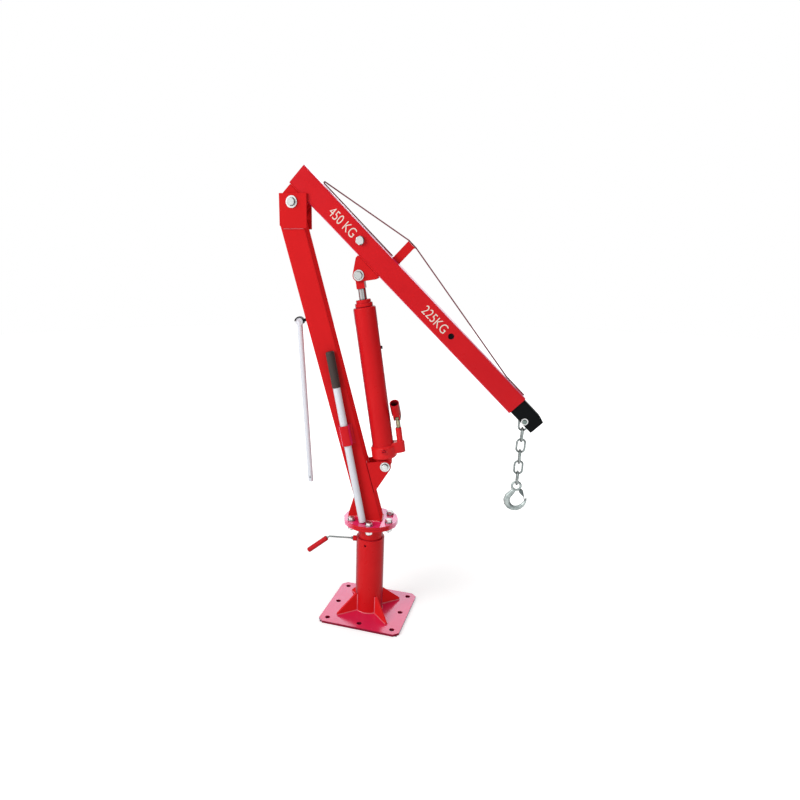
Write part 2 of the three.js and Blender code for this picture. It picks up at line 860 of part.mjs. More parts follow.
// Ears for the ram's head
const ramPinZ = boomAbovePin - ramPinDrop;
function boomEar(yFrom, yTo) {
  const from = ramPinAlong - boomEarBehind;
  const to = ramPinAlong + boomEarAhead;
  const shape = belt([
    [to, boomSeat, 0],
    [from, boomSeat, 0],
    [from, boomSeat - boomEarShoulder, 0],
    [ramPinAlong, ramPinZ, boomEarNose],
    [to, boomSeat - boomEarShoulder, 0],
  ]);
  shape.holes.push(circle(ramBolt.shank + boreGap, ramPinAlong, ramPinZ));
  return upright(shape, yFrom, yTo, holeSteps);
}
piece(boom, 'boom_ear_front', boomEar(-boomHalf, boomEarThick - boomHalf), redPaint);
piece(boom, 'boom_ear_back', boomEar(boomHalf - boomEarThick, boomHalf), redPaint);
const ramHead = frame(boom, 'ram_head', ramPinAlong, 0, ramPinZ);
piece(ramHead, 'ram_head_bolt', crossBolt(ramBolt, -boomHalf, boomHalf), zinc);

// King post with the fillet where the rod bends down over it
const kingTop = boomTop + kingHeight;
function kingPost() {
  const right = kingFrom + kingWidth;
  const shape = new THREE.Shape();
  shape.moveTo(kingFrom, boomTop + seatGap);
  shape.lineTo(right, boomTop + seatGap);
  shape.lineTo(right, kingTop - kingFlare);
  shape.absarc(right + kingFlare, kingTop - kingFlare, kingFlare, Math.PI, Math.PI / 2, true);
  shape.lineTo(kingFrom, kingTop);
  shape.closePath();
  return upright(shape, -kingThick / 2, kingThick / 2);
}
piece(boom, 'king_post', kingPost(), redPaint);

// Truss rod: along the boom's top, round a hairpin, over the king post and down to the boom again
function trussRod() {
  const low = boomTop + seatGap + rodRadius;
  const high = kingTop + seatGap + rodRadius;
  const pinX = rodApex + rodRadius + rodHairpin;
  const pinZ = low + rodHairpin;
  const away = Math.atan2(high - pinZ, kingFrom - pinX);
  const leave = away + Math.acos(rodHairpin / Math.hypot(high - pinZ, kingFrom - pinX));
  return bentRod([
    new THREE.Vector3(kingFrom - rodTailGap, 0, low),
    ...bend(pinX, pinZ, rodHairpin, -Math.PI / 2, leave - 2 * Math.PI, rodBendSteps),
    new THREE.Vector3(kingFrom, 0, high),
    new THREE.Vector3(kingFrom + kingWidth + kingFlare / 2, 0, high),
    new THREE.Vector3(rodDown, 0, low),
    new THREE.Vector3(rodEnd, 0, low),
  ], rodRadius);
}
piece(boom, 'truss_rod', trussRod(), redPaint);

// The lock bolt and its nut hold the inner boom at one of the two holes
const lockPlace = frame(boom, 'lock_place', boomHoleNear, 0, boomAxis);
piece(lockPlace, 'lock_bolt', boltHead(lockBolt, -boomHalf, boltEnd(lockBolt, boomHalf)), zinc);
piece(lockPlace, 'lock_nut', boltNut(lockBolt, boomHalf)
  .subtract(barY(lockBolt.shank + boreGap, 0, boomSide, 0, 0, smallSides)), zinc);

// Inner boom: its origin is the lock bolt's hole

const inner = frame(boom, 'inner', boomHoleNear, 0, boomAxis);
const innerHalf = innerSide / 2;
const hookX = innerTip - hookBoltBehind;
const hookZ = hookBoltUp - innerHalf;

function innerBoom() {
  const tube = squareTube(innerSide, innerWall, -innerTail, innerTip);
  tube.rotateY(Math.PI / 2);
  const clip = upright(belt([
    [innerTip - innerClipLength, innerHalf, 0],
    [innerTip, innerHalf - innerClipDrop, 0],
    [innerTip + cut, innerHalf - innerClipDrop, 0],
    [innerTip + cut, innerHalf + cut, 0],
    [innerTip - innerClipLength, innerHalf + cut, 0],
  ]), -innerSide, innerSide);
  const lockHalf = lockBolt.shank + boreGap;
  const slotFrom = hookX - chainSlotBehind;
  const slotHalf = chainSlot / 2;
  const slotTop = innerWall + cut - innerHalf;
  return solid(tube)
    .subtract(solid(clip))
    .subtract(barY(lockHalf, -innerSide, innerSide, 0, 0, smallSides))
    .subtract(block(-innerTail - cut, 0, -innerSide, innerSide, -lockHalf, lockHalf))
    .subtract(barY(hookBolt.shank + boreGap, -innerSide, innerSide, hookX, hookZ, smallSides))
    .subtract(block(slotFrom, innerTip + cut, -slotHalf, slotHalf, -innerSide, slotTop));
}
piece(inner, 'inner_boom', innerBoom(), blackPaint);
const hookPin = frame(inner, 'hook_pin', hookX, 0, hookZ);
piece(hookPin, 'hook_bolt', crossBolt(hookBolt, -innerHalf, innerHalf), zinc);

// Chain: it hangs plumb from the hook bolt, each link turned a quarter from the one above

const chainTop = placeIn(inner, swivel, hookX, hookZ);
const chain = frame(swivel, 'chain', chainTop.x, 0, chainTop.z);
const barSpan = linkPitch + 2 * wireRadius;
const barRest = 2 * wireRadius + seatGap;
const firstBar = hookBolt.shank + seatGap + wireRadius;

function chainLink() {
  const round = (linkWidth - 2 * wireRadius) / 2;
  const straight = barSpan / 2 - round;
  const rings = [];
  for (const [centre, start] of [[straight, 0], [-straight, Math.PI]]) {
    for (let i = 0; i <= linkArcSteps; i += 1) {
      const a = start + (Math.PI * i) / linkArcSteps;
      const z = centre + round * Math.sin(a);
      rings.push(ring(round * Math.cos(a), z, a + Math.PI / 2, wireRadius, wireRadius, linkSides));
    }
  }
  return loft(rings, true);
}
for (let i = 0; i < linkCount; i += 1) {
  const place = frame(chain, `link_place_${i + 1}`, 0, 0, firstBar - barSpan / 2 - i * (barSpan - barRest));
  place.rotation.z = (i % 2) * (Math.PI / 2);
  piece(place, `chain_link_${i + 1}`, chainLink(), chainSteel);
}

// Hook with its eye and the boss that carries the latch

const lastBar = firstBar - barSpan - (linkCount - 1) * (barSpan - barRest);
const eyeTop = lastBar + wireRadius + seatGap + hookEyeWire;
const hook = frame(chain, 'hook', 0, 0, eyeTop - hookEyeRadius);

function hookBody() {
  const points = hookShares.map((row) => row.map((share) => share * hookSpan));
  const rings = points.map(([x, z, inPlane, acrossY], i) => {
    const [beforeX, beforeZ] = points[Math.max(i - 1, 0)];
    const [afterX, afterZ] = points[Math.min(i + 1, points.length - 1)];
    return ring(x, z, Math.atan2(afterZ - beforeZ, afterX - beforeX), inPlane, acrossY, hookSides);
  });
  const eye = new THREE.TorusGeometry(hookEyeRadius, hookEyeWire, linkSides, hookEyeSteps);
  eye.rotateX(Math.PI / 2);
  const armAngle = Math.atan2(latchPivotZ, latchPivotX);
  const armX = hookEyeRadius * Math.cos(armAngle);
  const armZ = hookEyeRadius * Math.sin(armAngle);
  const armStart = ring(armX, armZ, armAngle, latchBoss, latchBossHalf, linkSides);
  const armEnd = ring(latchPivotX, latchPivotZ, armAngle, latchBoss, latchBossHalf, linkSides);
  return solid(loft(rings))
    .add(solid(eye))
    .add(solid(loft([armStart, armEnd])))
    .add(barY(latchBoss, -latchBossHalf, latchBossHalf, latchPivotX, latchPivotZ, smallSides))
    .subtract(barY(latchPin + boreGap, -hookSpan, hookSpan, latchPivotX, latchPivotZ, smallSides));
}
piece(hook, 'hook_body', hookBody(), chainSteel);

// The latch: a folded leaf whose outer face rests on the inside of the hook's tip
const latchOut = latchBoss + latchClear + latchThick;
const latchReachX = latchTipX - latchPivotX;
const latchReachZ = latchPivotZ - latchTipZ;
const latchSpan = Math.hypot(latchReachX, latchReachZ);
const latchLength = Math.sqrt(latchSpan ** 2 - latchOut ** 2);
const latch = frame(hook, 'latch', latchPivotX, 0, latchPivotZ);
latch.rotation.y = Math.asin(latchOut / latchSpan) - Math.atan2(latchReachX, latchReachZ);

function hookLatch() {
  const earInner = latchBossHalf + latchClear;
  const half = earInner + latchThick;
  const ear = belt([
    [0, 0, latchOut],
    [latchOut - latchThick, -latchLength * latchEarShare, 0],
    [latchOut, -latchLength * latchEarShare, 0],
  ]);
  const leaf = latchOut - latchThick;
  return solid(upright(ear, -half, half))
    .subtract(block(-2 * latchOut, leaf, -earInner, earInner, -latchLength, 2 * latchOut))
    .add(block(leaf, latchOut, -half, half, -latchLength, 0))
    .add(barY(latchPin, -half, half, 0, 0, smallSides));
}
piece(latch, 'hook_latch', hookLatch(), chainSteel);

// Hydraulic ram: its Z runs from the foot bolt to the head bolt

const footPlace = placeIn(mast, swivel, footAcross, footAlong);
const topPlace = placeIn(boom, swivel, ramPinAlong, ramPinZ);
const ramLength = footPlace.distanceTo(topPlace);
const ram = frame(swivel, 'ram', footPlace.x, 0, footPlace.z);
ram.rotation.y = Math.atan2(topPlace.x - footPlace.x, topPlace.z - footPlace.z);

const pump = frame(ram, 'pump', pumpAcross, 0, 0);
pump.rotation.z = radians(leverTurn);
const plateInner = plungerRadius + plateGap;
const plateOuter = plateInner + leverPlate;

function ramCasting() {
  const lugHalf = mastHalf - earThick - earSideGap;
  const body = turned([
    [0, castBottom],
    [castRadius - castChamfer, castBottom],
    [castRadius, castBottom + castChamfer],
    [castRadius, castTop - castChamfer],
    [castRadius - castChamfer, castTop],
    [0, castTop],
  ]);
  const lobe = flat(belt([[0, 0, lobeRoot], [pumpAcross, 0, lobeRadius]]), lobeBottom, lobeTop);
  const lug = upright(belt([
    [footLugRoot, castBottom + cut, 0],
    [-footLugRoot, castBottom + cut, 0],
    [0, 0, footLugRadius],
  ]), -lugHalf, lugHalf);
  const valveFace = castRadius + valveBossProud;
  const valveFloor = valveDepth - castRadius;
  const valveBore = valveStem + boreGap;
  const inPumpPlace = (shape) => {
    const geometry = geometryOf(shape);
    geometry.rotateZ(radians(leverTurn));
    geometry.translate(pumpAcross, 0, 0);
    return solid(geometry);
  };
  const linkLugs = sideways(belt([
    [lobeRadius - linkLugRoot, linkFootAlong, linkLugRoot],
    [leverArm, linkFootAlong, linkEye],
  ]), plateOuter)
    .subtract(barX(pinRadius + boreGap, -pumpAcross, pumpAcross, leverArm, linkFootAlong, smallSides));
  const pocketFront = leverArm - linkEye - seatGap;
  const pocketFloor = linkFootAlong - linkEye - seatGap;
  const pocket = block(-plateInner, plateInner, pocketFront, 2 * leverArm, pocketFloor, pinAlong);
  return body
    .add(solid(lobe))
    .add(solid(lug))
    .add(barY(valveBoss, -valveFace, 0, valveAcross, valveAlong, smallSides))
    .add(inPumpPlace(linkLugs))
    .subtract(inPumpPlace(pocket))
    .add(barZ(pumpRadius, lobeBottom + cut, pumpTop, pumpAcross))
    .subtract(barZ(tankRadius + slideGap, castTop, pumpTop))
    .subtract(barZ(cylinderRadius + boreGap, castBore, castTop + cut))
    .subtract(barZ(plungerRadius + boreGap, pumpFloor, pumpTop + cut, pumpAcross))
    .subtract(barY(valveBore, -2 * castRadius, valveFloor, valveAcross, valveAlong, smallSides))
    .subtract(barY(ramBolt.shank + boreGap, -mastSide, mastSide, 0, 0, smallSides));
}
piece(ram, 'ram_casting', ramCasting(), redPaint);

function releaseValve() {
  const seat = -(castRadius + valveBossProud + seatGap);
  const face = seat - valveProud;
  const tip = valveDepth - castRadius - seatGap;
  const slotFloor = face + valveSlotDepth;
  const slotHalf = valveSlot / 2;
  return barY(valveStem, seat - valveProud / 2, tip, 0, 0, smallSides)
    .add(barY(valveRadius, face, seat, 0, 0, smallSides))
    .subtract(block(-2 * valveRadius, 2 * valveRadius, face - cut, slotFloor, -slotHalf, slotHalf));
}
const valve = frame(ram, 'valve', valveAcross, 0, valveAlong);
piece(valve, 'release_valve', releaseValve(), redPaint);

function ramTank() {
  const floor = castTop + seatGap;
  const hole = cylinderRadius + boreGap;
  return turned([
    [tankRadius - tankWall, floor],
    [tankRadius, floor],
    [tankRadius, tankTop - tankShoulder],
    [tankRadius - tankShoulder, tankTop],
    [hole, tankTop],
    [hole, tankTop - tankWall],
    [tankRadius - tankWall, tankTop - tankWall],
    [tankRadius - tankWall, floor],
  ]).subtract(barX(fillerStem + boreGap, 0, 2 * tankRadius, 0, fillerAlong, smallSides));
}
piece(ram, 'ram_tank', ramTank(), redPaint);

function fillerPlug() {
  const seat = tankRadius + seatGap;
  const face = seat + fillerProud;
  return barX(fillerStem, tankRadius - tankWall, seat + fillerProud / 2, 0, fillerAlong, smallSides)
    .add(barX(fillerRadius, seat, face, 0, fillerAlong, smallSides));
}
piece(ram, 'filler_plug', fillerPlug(), rubber);

const cylinderBore = cylinderRadius - cylinderWall;
piece(ram, 'ram_cylinder', barZ(cylinderRadius, castBore + seatGap, tankTop)
  .subtract(barZ(cylinderBore, castBore, tankTop + cut)), chrome);

function ramGland() {
  const rodBore = ramRodRadius + boreGap;
  const plug = cylinderBore - boreGap;
  const seat = tankTop + seatGap;
  const step = tankTop + glandHeight;
  const top = step + glandStepHeight;
  return turned([
    [rodBore, tankTop - glandPlug],
    [plug, tankTop - glandPlug],
    [plug, seat],
    [glandRadius, seat],
    [glandRadius, step],
    [glandStep, step],
    [glandStep, top],
    [rodBore, top],
    [rodBore, tankTop - glandPlug],
  ]);
}
piece(ram, 'ram_gland', ramGland(), redPaint);

const pistonFoot = castBore + slideGap;
const rodTop = ramLength - rodEndLength - seatGap;
piece(ram, 'ram_rod', barZ(ramRodRadius, pistonFoot, rodTop)
  .add(barZ(cylinderBore - boreGap, pistonFoot, pistonFoot + pistonLength)), chrome);

// The rod's end is a saddle: the head bolt rests in it, and it is open above and towards the tip
function rodSaddle() {
  const cradle = ramBolt.shank + boreGap;
  const fall = radians(rodEndFall);
  const edgeZ = -cradle * Math.cos(fall) - (rodEndHalf - cradle * Math.sin(fall)) * Math.tan(fall);
  const half = boomHalf - boomEarThick - rodEndSideGap;
  const shape = new THREE.Shape();
  shape.moveTo(-rodEndHalf, -rodEndLength);
  shape.lineTo(rodEndHalf, -rodEndLength);
  shape.lineTo(rodEndHalf, edgeZ);
  shape.absarc(0, 0, cradle, fall - Math.PI / 2, -Math.PI, true);
  shape.lineTo(-cradle, rodEndLip);
  shape.lineTo(-rodEndHalf, rodEndLip);
  shape.closePath();
  return upright(shape, -half, half);
}
const rodEndPlace = frame(ram, 'rod_end_place', 0, 0, ramLength);
piece(rodEndPlace, 'rod_end', rodSaddle(), redPaint);

// Pump plunger with the pin that the lever drives
function pumpPlunger() {
  return barZ(plungerRadius, plungerFloor, pinAlong, 0, 0, smallSides)
    .add(barX(plungerEye, -plungerRadius, plungerRadius, 0, pinAlong, smallSides))
    .add(barX(pinRadius, -plateOuter - pinEnd, plateOuter + pinEnd, 0, pinAlong, smallSides));
}
piece(pump, 'pump_plunger', pumpPlunger(), zinc);

// The bar that holds the lever's pivot behind the plunger
function pumpLink() {
  const pinHalf = plateOuter + pinEnd;
  const bar = belt([[leverArm, pinAlong, linkEye], [leverArm, linkFootAlong, linkEye]]);
  return sideways(bar, plungerRadius)
    .add(barX(pinRadius, -pinHalf, pinHalf, leverArm, linkFootAlong, smallSides))
    .add(barX(pinRadius, -pinHalf, pinHalf, leverArm, pinAlong, smallSides));
}
piece(pump, 'pump_link', pumpLink(), zinc);

// Lever: two plates on the pivot and the plunger's pin, and the socket that takes the handle
const lever = frame(pump, 'lever', 0, leverArm, pinAlong);
function pumpLever() {
  const tilt = radians(leverTilt);
  const bore = handleRadius + socketGap;
  const along = (distance) => [
    -leverArm - distance * Math.cos(tilt) + socketRise * Math.sin(tilt),
    distance * Math.sin(tilt) + socketRise * Math.cos(tilt),
  ];
  const slide = leverArm / Math.cos(radians(leverDown)) - leverArm + boreGap;
  const slotHalf = pinRadius + leverPlay;
  const plates = sideways(belt([
    [0, 0, leverEye],
    [...along(socketStart + bore), bore],
    [-leverArm - slide, 0, leverEye],
  ]), plateOuter);
  const socket = (radius, from, to) => {
    const tube = new THREE.CylinderGeometry(radius, radius, to - from, roundSides);
    tube.rotateX(Math.PI - tilt);
    const [y, z] = along((from + to) / 2);
    tube.translate(0, y, z);
    return solid(tube);
  };
  const socketEnd = socketStart + socketLength;
  const front = -socketEnd - leverArm;
  const slot = belt([[-leverArm + boreGap, 0, slotHalf], [-leverArm - slide, 0, slotHalf]]);
  return plates
    .subtract(block(-plateInner, plateInner, front, 2 * leverArm, -2 * leverArm, 2 * socketEnd))
    .add(socket(bore + socketWall, socketStart, socketEnd))
    .subtract(socket(bore, socketStart + socketFloor, socketEnd + cut))
    .subtract(barX(pinRadius + boreGap, -pumpAcross, pumpAcross, 0, 0, smallSides))
    .subtract(sideways(slot, pumpAcross));
}
piece(lever, 'pump_lever', pumpLever(), redPaint);

export default crane;
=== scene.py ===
"""Finishes and fine shapes of a half-ton swivel crane for a truck bed.

Lengths are in metres, +Z up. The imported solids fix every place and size. This file gives them
rounded edges, weld beads, threads, forged and cast surfaces, paint and plating.
"""

import json
import math
from typing import NamedTuple

import bmesh
import bpy
from bpy.props import FloatProperty, FloatVectorProperty, IntProperty, PointerProperty, StringProperty
from mathutils import Matrix, Vector

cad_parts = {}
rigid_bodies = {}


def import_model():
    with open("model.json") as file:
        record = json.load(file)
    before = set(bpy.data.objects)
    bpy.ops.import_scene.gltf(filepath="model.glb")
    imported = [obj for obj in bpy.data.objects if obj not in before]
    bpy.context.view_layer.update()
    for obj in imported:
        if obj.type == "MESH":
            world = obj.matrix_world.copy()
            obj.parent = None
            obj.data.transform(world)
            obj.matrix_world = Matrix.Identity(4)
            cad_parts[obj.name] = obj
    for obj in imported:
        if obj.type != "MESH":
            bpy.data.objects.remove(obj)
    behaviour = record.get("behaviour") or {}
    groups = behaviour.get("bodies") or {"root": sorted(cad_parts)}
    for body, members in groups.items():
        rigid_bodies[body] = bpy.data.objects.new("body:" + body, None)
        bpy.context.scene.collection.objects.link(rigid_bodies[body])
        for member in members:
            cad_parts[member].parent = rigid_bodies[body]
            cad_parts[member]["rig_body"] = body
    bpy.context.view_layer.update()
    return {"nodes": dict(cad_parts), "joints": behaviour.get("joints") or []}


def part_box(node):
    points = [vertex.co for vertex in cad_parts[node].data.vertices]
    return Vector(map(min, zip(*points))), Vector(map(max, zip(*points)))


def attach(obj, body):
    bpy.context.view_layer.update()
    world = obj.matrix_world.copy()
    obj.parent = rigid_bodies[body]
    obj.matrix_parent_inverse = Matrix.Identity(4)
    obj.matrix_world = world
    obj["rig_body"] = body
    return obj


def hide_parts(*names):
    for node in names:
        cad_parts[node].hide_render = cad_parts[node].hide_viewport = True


bl_info = {
    "name": "Truck Bed Crane",
    "version": (1, 0, 0),
    "blender": (4, 5, 0),
    "location": "View3D > Sidebar > Crane",
    "description": "Dresses the solids of a swivel crane with weld beads, fasteners, paint and plating",
    "category": "Object",
}

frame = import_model()
NODES = frame["nodes"]
JOINTS = {joint["name"]: joint for joint in frame["joints"]}

BEAD_GAP = 0.002
SEAT_GAP = 0.0003
MERGE_DISTANCE = 1e-6
FLAT_ANGLE = math.radians(0.4)
EDGE_ANGLE = math.radians(35)
BOLT_SHARP = math.radians(28)
RUBBER_SHARP = math.radians(50)


# Settings


def colour(name, description, default):
    """A colour that a user can change, in linear values."""
    return FloatVectorProperty(
        name=name, description=description, subtype="COLOR", size=3, min=0, max=1, default=default
    )


def length(name, description, default):
    """A length that a user can change."""
    return FloatProperty(
        name=name,
        description=description,
        unit="LENGTH",
        subtype="DISTANCE",
        min=0,
        default=default,
        precision=5,
    )


def share(name, description, default, top=1):
    """A plain number or share that a user can change."""
    return FloatProperty(name=name, description=description, min=0, max=top, default=default)


def power(name, description, default):
    """A lamp's power that a user can change."""
    return FloatProperty(name=name, description=description, unit="POWER", default=default)


class CraneFinish(bpy.types.PropertyGroup):
    """Colours and surfaces of the crane's finishes."""

    red: colour("Red paint", "Gloss powder coat on the frame", (0.70, 0.0125, 0.0155))
    deep_red: colour("Deep red", "The same paint where it is thicker", (0.60, 0.009, 0.014))
    # Painted reflection: more green and blue than the red, standing for the sheen of the room on paint with
    # no specular.
    mast_sheen_red: colour("Mast red", "The same paint on the mast and the lugs", (0.70, 0.0175, 0.020))
    # Darker red along edges, and painted shade on the sides of round pieces and the grip and on the base
    # plate's cut sides.
    edge_and_shade_red: colour("Edge red", "The same paint where dirt darkens an edge", (0.26, 0.006, 0.03))
    # Painted reflection: the pink glare of the bright room on flat red faces seen at a slant.
    painted_glare_red: colour("Glancing red", "The same paint seen almost along its face", (1.0, 0.03, 0.19))
    glance: colour("Glance", "Tint of the reflections in flat red faces", (0.62, 0.74, 1.0))
    # Painted highlight: a lighter red for the glints of weld beads and gusset edges.
    bead_highlight_red: colour("Bead red", "The same paint on weld beads", (0.84, 0.09, 0.13))
    # Painted shade: the red darkened on the thin truss rod.
    rod_shade_red: colour("Rod red", "Dark paint on the truss rod", (0.24, 0.07, 0.09))
    # Painted shade: the colour that gaps, bores and corners turn to, and the dark floor under the base plate.
    crevice_shade_red: colour("Crevice red", "The same paint in narrow gaps and bores", (0.045, 0.004, 0.010))
    black: colour("Black paint", "Paint on the inner boom and the clip", (0.0045, 0.0055, 0.006))
    # Painted highlight: the black turns this lighter grey along its edges.
    edge_black: colour("Edge black", "Black paint where it thins over an edge", (0.07, 0.075, 0.08))
    white: colour("White paint", "Paint on the two handle tubes", (0.80, 0.82, 0.88))
    edge_white: colour("Edge white", "White paint at an edge", (0.90, 0.92, 0.95))
    marking: colour("Marking", "Paint of the load marks", (0.86, 0.80, 0.70))
    zinc: colour("Zinc", "Bright plating on bolts, nuts and pins", (0.86, 0.87, 0.87))
    dull_zinc: colour("Dull zinc", "The same plating where it has dulled", (0.66, 0.67, 0.66))
    head_tint: colour("Head tint", "Darkening of the plating on bolt heads and nuts", (0.22, 0.28, 0.26))
    brass_zinc: colour("Yellow zinc", "Yellowish plating on the pump's plunger and link", (0.50, 0.45, 0.28))
    chrome: colour("Chrome", "Ground rod and cylinder", (0.50, 0.49, 0.49))
    chain: colour("Chain steel", "Links, hook and latch", (0.36, 0.40, 0.39))
    # Used for dull patches and, much darker, for painted shade in hollows and on the sides.
    dull_chain: colour("Dull chain steel", "The same steel in its hollows", (0.17, 0.20, 0.20))
    worn_chain: colour("Worn chain steel", "The same steel on its edges", (0.5, 0.53, 0.52))
    rubber: colour("Rubber", "Grip of the pump handle", (0.028, 0.014, 0.011))
    grip: colour("Vinyl grip", "Grip of the lock screw", (0.58, 0.008, 0.014))
    peel_size: length("Orange peel", "Size of the paint's ripples", 0.0035)
    peel_depth: length("Peel depth", "Height of the paint's ripples", 0.00004)
    edge_width: length("Edge width", "Width over which an edge shows", 0.0016)
    # How far the painted shade of crevices reaches.
    contact: length("Contact width", "How far crevices darken the finish around them", 0.006)
    paint_roughness: share("Paint roughness", "Roughness of the gloss paint", 0.3)
    glancing_roughness: share("Glancing roughness", "Roughness of that paint at a slant", 0.11)


class CraneSizes(bpy.types.PropertyGroup):
    """Sizes of the fine shapes."""

    rounding: length("Edge rounding", "Radius on cut plate and tube edges", 0.0009)
    plate_rounding: length("Plate rounding", "Radius on the base plate, flanges and cheeks", 0.0012)
    turned_rounding: length("Turned rounding", "Radius on the ram's tank, gland and rod end", 0.0013)
    grip_rounding: length("Grip rounding", "Radius on the ends of the dipped grip", 0.0018)
    bar_rounding: length("Bar rounding", "Radius on the spare handle's ends", 0.001)
    clip_rounding: length("Clip rounding", "Radius on the clip and the pump's lever", 0.0008)
    strap_rounding: length("Strap rounding", "Radius on thin tubes, straps and links", 0.0006)
    wire_rounding: length("Wire rounding", "Radius on wire and small turned pieces", 0.0005)
    ground_rounding: length("Ground rounding", "Radius on the edges of ground steel", 0.0004)
    latch_rounding: length("Latch rounding", "Radius on the edges of the hook's latch", 0.0003)
    cast_rounding: length("Cast grain", "Cell size that rounds the ram's casting", 0.0011)
    forged_rounding: length("Forged grain", "Cell size that rounds the hook", 0.00077)
    weld: length("Weld bead", "Radius of the heavy weld beads", 0.0026)
    fine_weld: length("Fine weld bead", "Radius of the light weld beads", 0.0017)
    ripple: length("Weld ripple", "Distance between the ripples of a bead", 0.0027)
    post_radius: length("Post radius", "Outside radius of the post", 0.0445)
    plate_top: length("Plate top", "Height of the base plate's upper face", 0.0083)
    gusset_reach: length("Gusset reach", "From the post's middle to a gusset's toe", 0.117)
    gusset_height: length("Gusset height", "Height of the gussets along the post", 0.062)
    gusset_thick: length("Gusset thickness", "Thickness of a base gusset", 0.006)
    swivel_radius: length("Swivel radius", "Outside radius of the tube inside the post", 0.039)
    mast_side: length("Mast side", "Side of the mast's square tube", 0.065)
    boom_side: length("Boom side", "Side of the boom's square tube", 0.060)
    boom_above_pin: length("Boom above pin", "From the head pin to the boom's underside", 0.028)
    bolt_circle: length("Bolt circle", "Radius of the flange's bolt circle", 0.067)
    flange_bolts: IntProperty(name="Flange bolts", description="Bolts round the flange", min=3, default=6)
    king_from: length("King post place", "From the head pin to the king post along the boom", 0.292)
    king_width: length("King post width", "Width of the king post along the boom", 0.024)
    king_height: length("King post height", "Height of the king post above the boom", 0.058)
    rod_radius: length("Truss rod radius", "Radius of the truss rod", 0.0018)
    rod_down: length("Truss rod down", "Where the truss rod comes down on the boom", 0.748)
    rod_end: length("Truss rod end", "Where the truss rod ends", 0.822)
    rod_apex: length("Truss rod turn", "Where the truss rod turns back above the head", 0.023)
    rod_lift: length("Truss rod lift", "Height of the lower leg above the boom at the turn", 0.0002)
    rod_hairpin: length("Hairpin radius", "Radius of the truss rod's turn", 0.0020)
    wire_radius: length("Wire radius", "Radius of the chain's wire", 0.003)
    link_pitch: length("Link pitch", "Inside length of a link", 0.0335)
    link_width: length("Link width", "Outside width of a link", 0.029)
    tank_radius: length("Tank radius", "Outside radius of the ram's tank", 0.032)
    tank_foot: length("Tank foot", "Height of the tank's foot above the ram's pin", 0.0623)
    handle_radius: length("Handle radius", "Outside radius of the pump handle", 0.011)
    rubber_wall: length("Rubber wall", "Thickness of the handle's rubber", 0.0016)
    mark_height: length("Mark height", "Height of the load marks' figures", 0.0254)
    near_mark: StringProperty(name="Near mark", description="Load with the boom pushed in", default="450 KG")
    far_mark: StringProperty(name="Far mark", description="Load with the boom pulled out", default="225KG")


class CraneStage(bpy.types.PropertyGroup):
    """Camera, floor and lamps."""

    target: FloatVectorProperty(
        name="Target",
        description="Point that the camera looks at",
        subtype="TRANSLATION",
        default=(-0.127, 0, 0.447),
    )
    distance: length("Distance", "From the camera to its target", 1.939)
    turn: FloatProperty(
        name="Turn", description="Camera's turn about the crane", subtype="ANGLE", default=math.radians(9)
    )
    pitch: FloatProperty(
        name="Pitch", description="How far the camera looks down", subtype="ANGLE", default=math.radians(20)
    )
    lens: FloatProperty(name="Lens", description="Focal length on a 36 mm sensor", min=1, default=27.91)
    shift_x: FloatProperty(name="Shift X", description="Sideways shift of the picture", default=0.086)
    shift_y: FloatProperty(name="Shift Y", description="Upward shift of the picture", default=0.101)
    floor: colour("Floor", "Pale floor and backdrop", (0.80, 0.80, 0.80))
    # Painted shade: the floor under the base plate is dark and does not glow.
    shaded_floor_half: length("Covered floor", "Half side of the dark floor under the base plate", 0.128)
    ambient: share("Ambient", "Strength of the even light", 0.42, top=10)
    front_glow: share("Front glow", "Strength of the studio in front, as reflections see it", 0.7)
    side_glow: share("Side glow", "Share of that light that is left on the right", 0.12)
    key_power: power("Key lamp", "Power of the main softbox", 36)
    fill_power: power("Fill lamp", "Power of the side softbox", 6)
    back_power: power("Back lamp", "Power of the rear softbox", 22)


def finish():
    """The finish settings of the scene."""
    return bpy.context.scene.crane_finish


def sizes():
    """The size settings of the scene."""
    return bpy.context.scene.crane_sizes


def stage():
    """The stage settings of the scene."""
    return bpy.context.scene.crane_stage


# Places on the crane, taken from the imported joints


def joint_point(name):
    """Place of a packed joint."""
    return Vector(JOINTS[name]["pos_m"])


def joint_axis(name):
    """Direction of a packed joint."""
    return Vector(JOINTS[name]["axis"]).normalized()


def placing(origin, x_axis, z_axis):
    """A matrix with its X and Z along the given directions."""
    x = x_axis.normalized()
    z = z_axis.normalized()
    y = z.cross(x)
    turn = Matrix((x, y, z)).transposed().to_4x4()
    return Matrix.Translation(origin) @ turn


ACROSS = Vector((0, 1, 0))
UP = Vector((0, 0, 1))
BOOM_AXIS = joint_axis("boom_extend")
RAM_AXIS = joint_axis("ram_extend")
MAST_LEAN = math.radians(15.2)
MAST_AXIS = Vector((-math.sin(MAST_LEAN), 0, math.cos(MAST_LEAN)))
BASE_TURN = math.radians(-11)
BOOM_PLACE = placing(joint_point("boom_lift"), BOOM_AXIS, BOOM_AXIS.cross(ACROSS))
RAM_PLACE = placing(joint_point("ram_tilt"), ACROSS.cross(RAM_AXIS), RAM_AXIS)
BASE_PLACE = Matrix.Rotation(BASE_TURN, 4, "Z")
HANDLE_AXIS = joint_axis("handle_lift")


def box_middle(node):
    """Middle of a CAD node's box."""
    low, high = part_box(node)
    return (low + high) / 2


def node_axis(node, axis):
    """Foot and length of a round CAD node that runs along an axis."""
    points = [v.co for v in NODES[node].data.vertices]
    along = [p.dot(axis) for p in points]
    middle = box_middle(node)
    foot = middle + axis * (min(along) - middle.dot(axis))
    return foot, max(along) - min(along)


# Meshes


